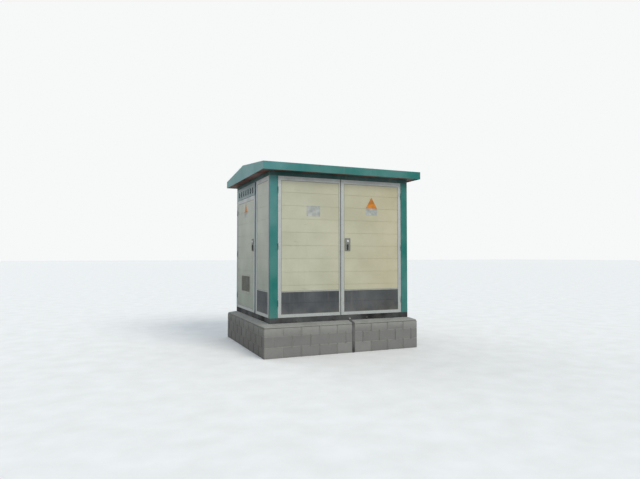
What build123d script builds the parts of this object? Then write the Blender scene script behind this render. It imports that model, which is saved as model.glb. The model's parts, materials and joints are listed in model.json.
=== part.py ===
from build123d import *
import os
from math import asin, cos, pi, sin, sqrt, tan

# Compact transformer substation on a masonry plinth: a steel case with three rooms.
# The front room holds the transformer, the rear left room the low-voltage panel and
# the rear right room the high-voltage cabinet. The origin is on the ground under the
# middle of the roof, +X runs to the right along the front and the front faces -Y.

# Case
case_width = 2440.0
case_depth = 2080.0
case_foot = 580.0  # top of the base frame
opening_head = 2770.0  # underside of the ring beam
beam_height = 71.0  # ring beam over the openings
sheet = 3.0  # folded steel sheet
slit = 0.4  # hairline between members that butt
body_gap = 0.5  # between a leaf's back and its stop

# Plinth
plinth_front = 140.0  # how far each side stands out from the case
plinth_rear = 140.0
plinth_left = 135.0
plinth_right = 92.0
plinth_wall = 240.0
block_wall_height = 445.0
course_height = 163.0
block_length = 300.0
mortar_joint = 10.0
mortar_recess = 4.0
cap_edge = 20.0  # thickness of the mortar cap at its outer edge
base_height = 80.0

# Base frame
web = 6.0
flange = 8.0
flange_reach = 70.0
cross_width = 80.0
cross_wall = 5.0
rail_gauge = 560.0  # between the transformer's two rails
bolt_places = (436.0, 1061.0, 1657.0)  # from the case's left corner
bolt_drop = 48.0  # below the top of the base frame
bolt_shank_radius = 8.0
bolt_clearance = 0.5
bolt_head_across = 24.0
bolt_head_height = 10.0
washer_radius = 17.0
washer_thickness = 3.0

# Earth strip
strip_place = 1348.0  # from the case's left corner
strip_width = 45.0
strip_thickness = 5.0
strip_rise = 36.0  # how far it laps the base frame

# Posts
post_front = 125.0
post_end = 50.0
stop_lap = 20.0  # stop flange behind a leaf's edge
leaf_depth = 40.0

# Ring beam
beam_depth = 100.0

# Leaves and panels
swing_gap = 4.0
meeting_line = 1194.0  # between the two front leaves
stile = 54.0
meeting_stile = 29.0
head_rail = 66.0
foot_rail = 48.0
divider = 9.0
board_recess = 2.0
board_thickness = 24.0
kick_height = 395.0  # divider strip above the case foot
groove_width = 7.0
groove_depth = 3.0
board_pitch = 206.0
first_groove = 98.0  # above the divider strip
kick_groove = 174.0  # below the divider strip

# Ends
mullion_width = 91.0
mullion_recess = 10.0
mullion_depth = 50.0
end_door_width = 1180.0
transom_height = 212.0
transom_flange = 34.0
slot_pitch = 150.0
slot_width = 62.0
slot_height = 98.0
slot_rise = 45.0
slot_count = 7

# Window in the left end door
window_width = 600.0
window_height = 318.0
window_foot = 303.0  # above the case foot
window_off = 280.0  # from the lock edge of the leaf
window_border = 26.0
window_lip = 8.0
window_bar = 7.0
window_bar_pitch = 42.0
glass_thickness = 5.0

# Hinges
hinge_proud = 7.0
barrel_radius = 6.0
barrel_length = 50.0
hinge_flag = 30.0
hinge_flag_thickness = 3.0
hinge_slack = 0.5
pin_radius = 3.5
pin_length = 40.0
pin_clearance = 0.05
hinge_ends = 220.0  # outer hinges from the leaf's ends

# Locks
lock_height = 1136.0  # lock plate's middle above the case foot
lock_inset = 117.0  # from the leaf's free edge
lock_width = 96.0
lock_length = 206.0
lock_thickness = 8.0
lock_corner = 10.0
lock_hollow = 3.0
hollow_width = 64.0
hollow_length = 108.0
hollow_drop = 38.0
spindle_drop = 8.0  # below the plate's middle
spindle_radius = 7.0
spindle_clearance = 0.05
lever_length = 76.0
lever_width = 24.0
lever_tip = 16.0
lever_thickness = 9.0
lever_lift = 1.0
cylinder_rise = 58.0
cylinder_radius = 15.0
cylinder_rim = 18.0
cylinder_proud = 5.0
cylinder_depth = 18.0
keyway_width = 2.6
keyway_length = 12.0
cam_length = 100.0
cam_width = 22.0
cam_thickness = 5.0

# Rods of the front lock
tooth_count = 12
tooth_module = 2.0
pressure_angle = 25.0
addendum_share = 0.8
dedendum_share = 1.1
backlash = 0.35
rod_width = 14.0
rod_thickness = 8.0
rod_gap = 0.3  # behind the leaf's frame
rod_end_gap = 1.0  # short of the keepers
rack_teeth = 8
keeper_clearance = 1.5
bolt_rod_inset = 14.5
bolt_rod_length = 320.0
bolt_knob_radius = 7.0
bolt_knob_length = 14.0
guide_wall = 4.0
guide_height = 26.0
guide_clearance = 0.3

# Rooms
partition_place = 801.0  # from the front
partition_thickness = 24.0
mid_wall_place = 220.0  # to the right of the middle
plank_thickness = 5.0
plank_seat = 15.0
cable_gap = 220.0

# Roof
roof_front_overhang = 170.0
roof_end_overhang = 160.0
fascia_drop = 12.0  # below the top of the ring beam
fascia_height = 120.0
ridge_rise = 122.0
roof_sheet = 3.0
soffit_sheet = 3.0
cap_reach = 95.0  # ridge cap down each slope
cap_sheet = 2.0
seam_place = 460.0  # from the middle of the roof
seam_width = 22.0
seam_height = 12.0
seam_fold = 220.0  # over this length a seam is dressed down towards the eaves
seam_foot = 1.0  # what stands of it there

# Transformer
tank_length = 820.0
tank_width = 380.0
tank_height = 820.0
skid_height = 80.0
skid_width = 48.0
fin_depth = 90.0
fin_thickness = 10.0
fin_pitch = 50.0
fin_margin = 60.0  # below the rim and above the skids
rim = 30.0
cover_thickness = 12.0
hv_pitch = 220.0
lv_pitch = 100.0
bushing_row = 95.0  # from the tank's middle
knob_radius = 30.0
knob_height = 26.0
knob_grip = 10.0
knob_grip_height = 12.0
tap_inset = 130.0  # from the tank's right end
lug_inset = 60.0
lug_width = 60.0
lug_height = 60.0
lug_thickness = 12.0
lug_hole_radius = 15.0
hv_bushing_radius = 34.0
hv_bushing_height = 230.0
hv_neck_radius = 24.0
hv_shed_radius = 46.0
hv_stud_radius = 10.0
hv_stud_height = 34.0
hv_sheds = 5
lv_bushing_radius = 22.0
lv_bushing_height = 90.0
lv_neck_radius = 15.0
lv_shed_radius = 30.0
lv_stud_radius = 7.0
lv_stud_height = 22.0
lv_sheds = 2
knob_edge = 2.0  # rim left outside the knob's grip
filler_place = -280.0  # from the tank's middle
filler_radius = 22.0
filler_height = 90.0
filler_cap_radius = 32.0
filler_cap_height = 22.0
pocket_place = -170.0
pocket_radius = 12.0
pocket_height = 40.0
gauge_radius = 30.0
gauge_height = 26.0
relief_place = 130.0
relief_flange_radius = 32.0
relief_flange_height = 14.0
relief_radius = 20.0
relief_height = 30.0
drain_radius = 12.0
drain_length = 45.0
valve_radius = 21.0
valve_length = 38.0

# Low-voltage panel
lv_width = 900.0
lv_depth = 300.0
lv_height = 1700.0
lv_sheet = 3.0
breaker_depth = 100.0
main_width = 260.0
main_height = 320.0
main_rise = 1180.0
feeder_count = 3
feeder_width = 140.0
feeder_height = 240.0
feeder_rise = 620.0
feeder_pitch = 240.0
toggle_reach = 32.0
main_toggle_reach = 51.0
toggle_clearance = 0.5
toggle_width = 24.0
toggle_hub = 8.0
toggle_slot_depth = 20.0
toggle_slot_reach = 70.0

# Copper bars
bar_width = 50.0
bar_thickness = 8.0
bar_over = 60.0  # above the panel's top
bar_slot_gap = 8.0
phase_pitch = 62.0
spread_height = 30.0  # level bars between the main unit and the feeders
spread_thickness = 6.0
spread_first = 14.0  # first level bar's back in front of the panel
spread_stagger = 22.0
spread_end = 15.0
dropper_width = 20.0
feeder_phase_pitch = 32.0
standoff_radius = 11.0

# High-voltage cabinet
hv_width = 760.0
hv_depth = 560.0
hv_height = 1500.0
hv_knob_radius = 26.0
hv_knob_rise = 1050.0
hv_knob_off = 160.0  # from the cabinet's middle
hv_knob_base = 14.0
hv_knob_grip = 12.0
hv_knob_grip_length = 76.0
hv_knob_grip_height = 16.0
hv_cover_margin = 38.0  # bare border round the bolted covers
hv_cover_thickness = 12.0
hv_cover_corner = 10.0
hv_cover_edge = 3.0
hv_cable_cover_height = 600.0
hv_relay_cover_height = 180.0
hv_handle_place = 220.0  # from the cabinet's middle
hv_handle_drop = 90.0  # below the cable cover's head
hv_handle_length = 130.0
hv_handle_radius = 6.0
hv_handle_reach = 34.0
hv_gauge_radius = 42.0
hv_gauge_reach = 18.0
hv_gauge_rim = 6.0
hv_gauge_hollow = 4.0
hv_gauge_rise = 1130.0

half_width = case_width / 2
half_depth = case_depth / 2
base_foot = case_foot - base_height
wall_height = opening_head - case_foot
soffit_height = opening_head + beam_height

# Each wall has a plane on its outer face: u runs to the right as seen from outside,
# the second direction is up and the normal points outwards
front_wall = Plane(origin=(-half_width, -half_depth, 0), x_dir=(1, 0, 0), z_dir=(0, -1, 0))
left_wall = Plane(origin=(-half_width, half_depth, 0), x_dir=(0, -1, 0), z_dir=(-1, 0, 0))
right_wall = Plane(origin=(half_width, -half_depth, 0), x_dir=(0, 1, 0), z_dir=(1, 0, 0))
rear_wall = Plane(origin=(half_width, half_depth, 0), x_dir=(-1, 0, 0), z_dir=(0, 1, 0))

pieces = {}


def sketch_rectangle(u0, u1, z0, z1, mode=Mode.ADD):
    with Locations(((u0 + u1) / 2, (z0 + z1) / 2)):
        Rectangle(u1 - u0, z1 - z0, mode=mode)


def upright_block(plane, u0, u1, z0, z1, outer, inner, mode=Mode.ADD):
    # A block between two depths behind a wall's outer face
    with BuildSketch(plane.offset(-outer)) as outline:
        sketch_rectangle(u0, u1, z0, z1)
    extrude(outline.sketch, amount=outer - inner, mode=mode)


def level_block(x0, x1, y0, y1, z0, z1, mode=Mode.ADD):
    with BuildSketch(Plane.XY.offset(z0)) as outline:
        sketch_rectangle(x0, x1, y0, y1)
    extrude(outline.sketch, amount=z1 - z0, mode=mode)


# Plinth walls of blocks in running bond, the joints raked back
outer_left = -half_width - plinth_left
outer_right = half_width + plinth_right
outer_front = -half_depth - plinth_front
outer_rear = half_depth + plinth_rear


def joint_places(length, first):
    places = []
    at = first
    while at < length - mortar_joint:
        places.append(at)
        at += block_length
    return places


def raked_joints(plane, length):
    courses = []
    foot = 0.0
    while foot < block_wall_height:
        courses.append((foot, min(foot + course_height, block_wall_height)))
        foot += course_height
    with BuildSketch(plane) as outline:
        for foot, head in courses[1:]:
            sketch_rectangle(0, length, foot - mortar_joint / 2, foot + mortar_joint / 2)
        for row, (foot, head) in enumerate(courses):
            first = block_length if row % 2 == 0 else block_length / 2
            for at in joint_places(length, first):
                sketch_rectangle(at - mortar_joint / 2, at + mortar_joint / 2, foot, head)
    extrude(outline.sketch, amount=-mortar_recess, mode=Mode.SUBTRACT)


plinth_width = outer_right - outer_left
plinth_depth = outer_rear - outer_front
plinth_faces = (
    (Plane(origin=(outer_left, outer_front, 0), x_dir=(1, 0, 0), z_dir=(0, -1, 0)), plinth_width),
    (Plane(origin=(outer_right, outer_rear, 0), x_dir=(-1, 0, 0), z_dir=(0, 1, 0)), plinth_width),
    (Plane(origin=(outer_left, outer_rear, 0), x_dir=(0, -1, 0), z_dir=(-1, 0, 0)), plinth_depth),
    (Plane(origin=(outer_right, outer_front, 0), x_dir=(0, 1, 0), z_dir=(1, 0, 0)), plinth_depth),
)

with BuildPart() as plinth_blocks:
    inner_front = outer_front + plinth_wall
    inner_rear = outer_rear - plinth_wall
    level_block(outer_left, outer_right, outer_front, inner_front, 0, block_wall_height)
    level_block(outer_left, outer_right, inner_rear, outer_rear, 0, block_wall_height)
    for wall_x in (outer_left, outer_right - plinth_wall):
        level_block(
            wall_x, wall_x + plinth_wall, inner_front + slit, inner_rear - slit, 0, block_wall_height
        )
    for face, length in plinth_faces:
        raked_joints(face, length)
pieces["plinth_blocks"] = plinth_blocks

# Mortar cap, level under the case and sloped off to the plinth's edge
cap_shoulder = block_wall_height + cap_edge
with BuildPart() as mortar_cap:
    level_block(outer_left, outer_right, outer_front, outer_rear, block_wall_height, cap_shoulder)
    with BuildSketch(Plane.XY.offset(cap_shoulder)):
        sketch_rectangle(outer_left, outer_right, outer_front, outer_rear)
    with BuildSketch(Plane.XY.offset(base_foot)):
        sketch_rectangle(-half_width, half_width, -half_depth, half_depth)
    loft()
    level_block(
        outer_left + plinth_wall,
        outer_right - plinth_wall,
        inner_front,
        inner_rear,
        block_wall_height,
        base_foot,
        mode=Mode.SUBTRACT,
    )
pieces["mortar_cap"] = mortar_cap

# Base frame: channels round the edge, box members under the walls and the transformer
partition_y = -half_depth + partition_place


def lying_channel(plane, u0, u1, end_plate):
    upright_block(plane, u0, u1, base_foot, case_foot, 0, flange_reach)
    upright_block(
        plane,
        u0 + end_plate,
        u1 - end_plate,
        base_foot + flange,
        case_foot - flange,
        web,
        flange_reach,
        mode=Mode.SUBTRACT,
    )


def box_member(plane, middle, length):
    # A square tube that runs against the plane's normal
    with BuildSketch(plane) as section:
        with Locations((middle, (base_foot + case_foot) / 2)):
            Rectangle(cross_width, base_height)
            Rectangle(cross_width - 2 * cross_wall, base_height - 2 * cross_wall, mode=Mode.SUBTRACT)
    extrude(section.sketch, amount=-length)


rods_depth = leaf_depth + rod_gap  # front of the rods behind the wall's face
rod_offset = tooth_module * (tooth_count / 2 + dedendum_share)
front_spindle_x = -half_width + meeting_line + swing_gap / 2 + lock_inset
rod_middles = (front_spindle_x - rod_offset - rod_width / 2, front_spindle_x + rod_offset + rod_width / 2)
bolt_rod_x = -half_width + meeting_line - swing_gap / 2 - bolt_rod_inset


def keeper_slot(x):
    sketch_rectangle(
        x - rod_width / 2 - keeper_clearance,
        x + rod_width / 2 + keeper_clearance,
        -half_depth + rods_depth - keeper_clearance,
        -half_depth + rods_depth + rod_thickness + keeper_clearance,
    )


with BuildPart() as base_frame:
    lying_channel(front_wall, 0, case_width, web)
    lying_channel(rear_wall, 0, case_width, web)
    for wall in (left_wall, right_wall):
        lying_channel(wall, flange_reach + slit, case_depth - flange_reach - slit, 0)
    side_inner = half_width - flange_reach - slit
    half_cross = cross_width / 2
    box_member(Plane.YZ.offset(side_inner), partition_y, 2 * side_inner)
    for rail_x in (-rail_gauge / 2, rail_gauge / 2):
        box_member(
            Plane.XZ.offset(half_depth - flange_reach - slit),
            rail_x,
            partition_place - flange_reach - half_cross - 2 * slit,
        )
    box_member(
        Plane.XZ.offset(-partition_y - half_cross - slit),
        mid_wall_place,
        half_depth - flange_reach - partition_y - half_cross - 2 * slit,
    )
    for wall in (front_wall, rear_wall):
        with BuildSketch(wall):
            for place in bolt_places:
                with Locations((place, case_foot - bolt_drop)):
                    Circle(bolt_shank_radius + bolt_clearance)
        extrude(amount=-web, mode=Mode.SUBTRACT)
    with BuildSketch(Plane.XY.offset(case_foot)):
        keeper_slot(rod_middles[1])
        keeper_slot(bolt_rod_x)
    extrude(amount=-flange, mode=Mode.SUBTRACT)
pieces["base_frame"] = base_frame

with BuildPart() as base_bolts:
    for wall in (front_wall, rear_wall):
        with BuildSketch(wall):
            for place in bolt_places:
                with Locations((place, case_foot - bolt_drop)):
                    Circle(washer_radius)
        extrude(amount=washer_thickness)
        with BuildSketch(wall.offset(washer_thickness)):
            for place in bolt_places:
                with Locations((place, case_foot - bolt_drop)):
                    RegularPolygon(bolt_head_across / sqrt(3), 6)
        extrude(amount=bolt_head_height)
        with BuildSketch(wall):
            for place in bolt_places:
                with Locations((place, case_foot - bolt_drop)):
                    Circle(bolt_shank_radius)
        extrude(amount=-web)
        with BuildSketch(wall.offset(-web)):
            for place in bolt_places:
                with Locations((place, case_foot - bolt_drop)):
                    RegularPolygon(bolt_head_across / sqrt(3), 6)
        extrude(amount=-bolt_head_height)
pieces["base_bolts"] = base_bolts

# Earth strip, bent down over the cap and the plinth's face to the ground
strip_x = -half_width + strip_place
with BuildPart() as earth_strip:
    with BuildSketch(Plane.YZ.offset(strip_x - strip_width / 2)):
        slope = (base_foot - cap_shoulder) / plinth_front
        lift = strip_thickness * sqrt(1 + slope**2)
        with BuildLine():
            Polyline(
                (-half_depth, base_foot + strip_rise),
                (-half_depth, base_foot),
                (outer_front, cap_shoulder),
                (outer_front, 0),
                (outer_front - strip_thickness, 0),
                (outer_front - strip_thickness, cap_shoulder - slope * strip_thickness + lift),
                (-half_depth - strip_thickness, base_foot - slope * strip_thickness + lift),
                (-half_depth - strip_thickness, base_foot + strip_rise),
                close=True,
            )
        make_face()
    extrude(amount=strip_width)
pieces["earth_strip"] = earth_strip

# Corner posts of folded sheet, each with a stop flange behind both openings
with BuildPart() as corner_posts:
    with BuildSketch(Plane.XY.offset(case_foot)):
        with BuildLine():
            back = leaf_depth + body_gap
            fold = Polyline(
                (-half_width + back, -half_depth + post_end + stop_lap),
                (-half_width + back, -half_depth + post_end),
                (-half_width, -half_depth + post_end),
                (-half_width, -half_depth),
                (-half_width + post_front, -half_depth),
                (-half_width + post_front, -half_depth + back),
                (-half_width + post_front + stop_lap, -half_depth + back),
            )
            offset(fold, amount=sheet, side=Side.LEFT, kind=Kind.INTERSECTION)
        make_face()
    extrude(amount=wall_height)
    mirror(about=Plane.YZ)
    mirror(about=Plane.XZ)
pieces["corner_posts"] = corner_posts

# Ring beam of box section on the posts
with BuildPart() as top_ring:
    for wall in (front_wall, rear_wall):
        upright_block(wall, 0, case_width, opening_head, soffit_height, 0, beam_depth)
        upright_block(
            wall,
            sheet,
            case_width - sheet,
            opening_head + sheet,
            soffit_height - sheet,
            sheet,
            beam_depth - sheet,
            mode=Mode.SUBTRACT,
        )
    for wall in (left_wall, right_wall):
        upright_block(
            wall,
            beam_depth + slit,
            case_depth - beam_depth - slit,
            opening_head,
            soffit_height,
            0,
            beam_depth,
        )
        upright_block(
            wall,
            beam_depth + slit + sheet,
            case_depth - beam_depth - slit - sheet,
            opening_head + sheet,
            soffit_height - sheet,
            sheet,
            beam_depth - sheet,
            mode=Mode.SUBTRACT,
        )
    with BuildSketch(Plane.XY.offset(opening_head)):
        keeper_slot(rod_middles[0])
        keeper_slot(bolt_rod_x)
    extrude(amount=sheet, mode=Mode.SUBTRACT)
pieces["top_ring"] = top_ring

# Ends: a door at the rear, a mullion, and a fixed panel at the front
door_start = post_end
door_end = door_start + end_door_width
mullion_start = door_end
mullion_end = mullion_start + mullion_width
transom_foot = opening_head - transom_height


def mirrored_span(u0, u1):
    # The right end is the left end seen in a mirror
    return case_depth - u1, case_depth - u0


end_walls = ((left_wall, lambda u0, u1: (u0, u1)), (right_wall, mirrored_span))

with BuildPart() as end_mullions:
    for wall, span in end_walls:
        u0, u1 = span(mullion_start, mullion_end)
        upright_block(wall, u0, u1, case_foot, opening_head, mullion_recess, mullion_depth)
        upright_block(
            wall,
            u0 + sheet,
            u1 - sheet,
            case_foot,
            opening_head,
            mullion_recess + sheet,
            mullion_depth,
            mode=Mode.SUBTRACT,
        )
pieces["end_mullions"] = end_mullions

with BuildPart() as transom_vents:
    for wall, span in end_walls:
        u0, u1 = span(door_start, door_end)
        upright_block(wall, u0, u1, transom_foot, opening_head, 0, transom_flange)
        upright_block(
            wall,
            u0,
            u1,
            transom_foot + sheet,
            opening_head - sheet,
            sheet,
            transom_flange,
            mode=Mode.SUBTRACT,
        )
        with BuildSketch(wall):
            with Locations(((u0 + u1) / 2, transom_foot + slot_rise + slot_height / 2)):
                with GridLocations(slot_pitch, 0, slot_count, 1):
                    Rectangle(slot_width, slot_height)
        extrude(amount=-sheet, mode=Mode.SUBTRACT)
pieces["transom_vents"] = transom_vents


# Frames of mitred bars, with a divider strip over the kick board
def mitred_frame(plane, u0, u1, z0, z1, left_bar, right_bar, divider_z):
    inner_foot = z0 + foot_rail
    inner_head = z1 - head_rail
    outlines = [
        ((u0, z0), (u0 + left_bar, inner_foot), (u0 + left_bar, inner_head), (u0, z1)),
        ((u1, z0), (u1 - right_bar, inner_foot), (u1 - right_bar, inner_head), (u1, z1)),
        (
            (u0 + slit, z0),
            (u1 - slit, z0),
            (u1 - right_bar - slit, inner_foot),
            (u0 + left_bar + slit, inner_foot),
        ),
        (
            (u0 + slit, z1),
            (u1 - slit, z1),
            (u1 - right_bar - slit, inner_head),
            (u0 + left_bar + slit, inner_head),
        ),
    ]
    if divider_z is not None:
        outlines.append(
            (
                (u0 + left_bar + slit, divider_z),
                (u1 - right_bar - slit, divider_z),
                (u1 - right_bar - slit, divider_z + divider),
                (u0 + left_bar + slit, divider_z + divider),
            )
        )
    with BuildSketch(plane) as outline:
        for corners in outlines:
            with BuildLine():
                Polyline(*corners, close=True)
            make_face()
    extrude(outline.sketch, amount=-leaf_depth)


divider_height = case_foot + kick_height


def grooved_board(plane, u0, u1, z0, z1, grooves):
    upright_block(plane, u0, u1, z0, z1, board_recess, board_recess + board_thickness)
    with BuildSketch(plane.offset(-board_recess)) as outline:
        for height in grooves:
            if z0 + groove_width < height < z1 - groove_width:
                sketch_rectangle(u0, u1, height - groove_width / 2, height + groove_width / 2)
    extrude(outline.sketch, amount=-groove_depth, mode=Mode.SUBTRACT)


groove_heights = [divider_height + first_groove + board_pitch * step for step in range(-4, 9)]
kick_grooves = [divider_height - kick_groove]

# Fixed panels beside the end doors and across the rear
fixed_spans = []
for wall, span in end_walls:
    fixed_spans.append((wall, *span(mullion_end, case_depth - post_end)))
fixed_spans.append((rear_wall, post_front, half_width - slit / 2))
fixed_spans.append((rear_wall, half_width + slit / 2, case_width - post_front))

with BuildPart() as fixed_frames:
    for wall, u0, u1 in fixed_spans:
        mitred_frame(wall, u0, u1, case_foot, opening_head, stile, stile, divider_height)
pieces["fixed_frames"] = fixed_frames

with BuildPart() as fixed_boards:
    for wall, u0, u1 in fixed_spans:
        grooved_board(
            wall, u0 + stile, u1 - stile, divider_height + divider, opening_head - head_rail, groove_heights
        )
pieces["fixed_boards"] = fixed_boards

with BuildPart() as fixed_kick_boards:
    for wall, u0, u1 in fixed_spans:
        grooved_board(wall, u0 + stile, u1 - stile, case_foot + foot_rail, divider_height, kick_grooves)
pieces["fixed_kick_boards"] = fixed_kick_boards


# Hinges: the fixed half carries the pin, the leaf's half turns on it
def hinge_heights(z0, z1):
    return (z0 + hinge_ends, (z0 + z1) / 2, z1 - hinge_ends)


def hinge_halves_at(plane, axis_u, side, heights, fixed):
    # side is +1 where the flag lies towards +u of the axis
    for middle in heights:
        foot = middle - barrel_length if fixed else middle + hinge_slack
        head = middle if fixed else middle + barrel_length
        upright_block(
            plane,
            min(axis_u, axis_u + side * hinge_flag),
            max(axis_u, axis_u + side * hinge_flag),
            foot,
            head,
            -hinge_flag_thickness,
            0,
        )
        centre = plane.from_local_coords((axis_u, 0, hinge_proud))
        with BuildSketch(Plane.XY.offset(foot)) as outline:
            with Locations((centre.X, centre.Y)):
                Circle(barrel_radius)
        extrude(outline.sketch, amount=head - foot)
        with BuildSketch(Plane.XY.offset(middle)) as outline:
            with Locations((centre.X, centre.Y)):
                Circle(pin_radius if fixed else pin_radius + pin_clearance)
        if fixed:
            extrude(outline.sketch, amount=pin_length)
        else:
            extrude(outline.sketch, amount=pin_length + hinge_slack, mode=Mode.SUBTRACT)


leaf_foot = case_foot + swing_gap
leaf_head = opening_head - swing_gap
end_leaf_head = transom_foot - swing_gap
front_left_axis = post_front + swing_gap / 2
front_right_axis = case_width - post_front - swing_gap / 2
end_axis = door_start + swing_gap / 2
front_hinges = hinge_heights(leaf_foot, leaf_head)
end_hinges = hinge_heights(leaf_foot, end_leaf_head)

with BuildPart() as hinge_halves:
    hinge_halves_at(front_wall, front_left_axis, -1, front_hinges, True)
    hinge_halves_at(front_wall, front_right_axis, 1, front_hinges, True)
    hinge_halves_at(left_wall, end_axis, -1, end_hinges, True)
    hinge_halves_at(right_wall, case_depth - end_axis, 1, end_hinges, True)
pieces["hinge_halves"] = hinge_halves

# Leaves, each a frame with its hinge halves, a board and a kick board
meeting_left = meeting_line - swing_gap / 2
meeting_right = meeting_line + swing_gap / 2
front_left_span = (post_front + swing_gap, meeting_left)
front_right_span = (meeting_right, case_width - post_front - swing_gap)
left_door_span = (door_start + swing_gap, door_end - swing_gap)
right_door_span = mirrored_span(*left_door_span)


def rod_guide(u, middle):
    # A saddle on the back of a frame, round a rod that slides up and down
    half = rod_width / 2 + guide_clearance
    reach = rod_gap + rod_thickness + guide_clearance
    foot = middle - guide_height / 2
    head = middle + guide_height / 2
    upright_block(
        front_wall,
        u - half - guide_wall,
        u + half + guide_wall,
        foot,
        head,
        leaf_depth,
        leaf_depth + reach + guide_wall,
    )
    upright_block(
        front_wall, u - half, u + half, foot, head, leaf_depth, leaf_depth + reach, mode=Mode.SUBTRACT
    )


bolt_rod_u = meeting_left - bolt_rod_inset
bolt_guides = (
    leaf_foot + foot_rail + guide_height,
    leaf_foot + bolt_rod_length - 3 * guide_height,
    leaf_head - bolt_rod_length + 3 * guide_height,
    leaf_head - head_rail - guide_height,
)
with BuildPart() as front_left_frame:
    mitred_frame(front_wall, *front_left_span, leaf_foot, leaf_head, stile, meeting_stile, divider_height)
    hinge_halves_at(front_wall, front_left_axis, 1, front_hinges, False)
    for height in bolt_guides:
        rod_guide(bolt_rod_u, height)
pieces["front_left_frame"] = front_left_frame

with BuildPart() as front_right_frame:
    mitred_frame(front_wall, *front_right_span, leaf_foot, leaf_head, stile, stile, divider_height)
    hinge_halves_at(front_wall, front_right_axis, -1, front_hinges, False)
    rod_guide(rod_middles[0] + half_width, leaf_head - head_rail / 2)
    rod_guide(rod_middles[1] + half_width, leaf_foot + foot_rail / 2)
pieces["front_right_frame"] = front_right_frame

with BuildPart() as left_door_frame:
    mitred_frame(left_wall, *left_door_span, leaf_foot, end_leaf_head, stile, stile, None)
    hinge_halves_at(left_wall, end_axis, 1, end_hinges, False)
pieces["left_door_frame"] = left_door_frame

with BuildPart() as right_door_frame:
    mitred_frame(right_wall, *right_door_span, leaf_foot, end_leaf_head, stile, stile, divider_height)
    hinge_halves_at(right_wall, case_depth - end_axis, -1, end_hinges, False)
pieces["right_door_frame"] = right_door_frame

lock_middle = case_foot + lock_height
front_lock_u = meeting_right + lock_inset
left_lock_u = left_door_span[1] - lock_inset
right_lock_u = right_door_span[0] + lock_inset
spindle_height = lock_middle - spindle_drop
cylinder_height = lock_middle + cylinder_rise


def lock_holes(plane, u):
    # Clearance holes for the spindle and the cylinder, right through
    with BuildSketch(plane) as outline:
        with Locations((u, spindle_height)):
            Circle(spindle_radius + 2 * bolt_clearance)
        with Locations((u, cylinder_height)):
            Circle(cylinder_radius + 2 * bolt_clearance)
    extrude(outline.sketch, amount=-leaf_depth, mode=Mode.SUBTRACT)


board_foot = divider_height + divider
leaf_kick_foot = leaf_foot + foot_rail

with BuildPart() as front_left_board:
    grooved_board(
        front_wall,
        front_left_span[0] + stile,
        front_left_span[1] - meeting_stile,
        board_foot,
        leaf_head - head_rail,
        groove_heights,
    )
pieces["front_left_board"] = front_left_board

with BuildPart() as front_left_kick:
    grooved_board(
        front_wall,
        front_left_span[0] + stile,
        front_left_span[1] - meeting_stile,
        leaf_kick_foot,
        divider_height,
        kick_grooves,
    )
pieces["front_left_kick"] = front_left_kick

with BuildPart() as front_right_board:
    grooved_board(
        front_wall,
        front_right_span[0] + stile,
        front_right_span[1] - stile,
        board_foot,
        leaf_head - head_rail,
        groove_heights,
    )
    lock_holes(front_wall, front_lock_u)
pieces["front_right_board"] = front_right_board

with BuildPart() as front_right_kick:
    grooved_board(
        front_wall,
        front_right_span[0] + stile,
        front_right_span[1] - stile,
        leaf_kick_foot,
        divider_height,
        kick_grooves,
    )
pieces["front_right_kick"] = front_right_kick

window_u1 = left_door_span[1] - window_off
window_u0 = window_u1 - window_width
window_z0 = case_foot + window_foot
window_z1 = window_z0 + window_height

with BuildPart() as left_door_board:
    grooved_board(
        left_wall,
        left_door_span[0] + stile,
        left_door_span[1] - stile,
        leaf_kick_foot,
        end_leaf_head - head_rail,
        groove_heights,
    )
    upright_block(
        left_wall, window_u0, window_u1, window_z0, window_z1, 0, leaf_depth, mode=Mode.SUBTRACT
    )
    lock_holes(left_wall, left_lock_u)
pieces["left_door_board"] = left_door_board

with BuildPart() as right_door_board:
    grooved_board(
        right_wall,
        right_door_span[0] + stile,
        right_door_span[1] - stile,
        board_foot,
        end_leaf_head - head_rail,
        groove_heights,
    )
    lock_holes(right_wall, right_lock_u)
pieces["right_door_board"] = right_door_board

with BuildPart() as right_door_kick:
    grooved_board(
        right_wall,
        right_door_span[0] + stile,
        right_door_span[1] - stile,
        leaf_kick_foot,
        divider_height,
        kick_grooves,
    )
pieces["right_door_kick"] = right_door_kick

# Window: a lipped frame with upright bars, and a pane held behind them
window_back = board_recess + board_thickness
with BuildPart() as left_window_frame:
    upright_block(left_wall, window_u0, window_u1, window_z0, window_z1, board_recess, window_back)
    upright_block(
        left_wall,
        window_u0 - window_lip,
        window_u1 + window_lip,
        window_z0 - window_lip,
        window_z1 + window_lip,
        0,
        board_recess,
    )
    upright_block(
        left_wall,
        window_u0 + window_border,
        window_u1 - window_border,
        window_z0 + window_border,
        window_z1 - window_border,
        0,
        window_back,
        mode=Mode.SUBTRACT,
    )
    bar_span = window_width - 2 * window_border
    bar_count = int(bar_span / window_bar_pitch)
    with BuildSketch(left_wall.offset(-board_recess)):
        with Locations(((window_u0 + window_u1) / 2, (window_z0 + window_z1) / 2)):
            with GridLocations(window_bar_pitch, 0, bar_count, 1):
                Rectangle(window_bar, window_height - 2 * window_border)
    extrude(amount=-window_bar)
pieces["left_window_frame"] = left_window_frame

with BuildPart() as left_window_glass:
    upright_block(
        left_wall,
        window_u0 + window_border,
        window_u1 - window_border,
        window_z0 + window_border,
        window_z1 - window_border,
        window_back - glass_thickness,
        window_back,
    )
pieces["left_window_glass"] = left_window_glass


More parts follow.
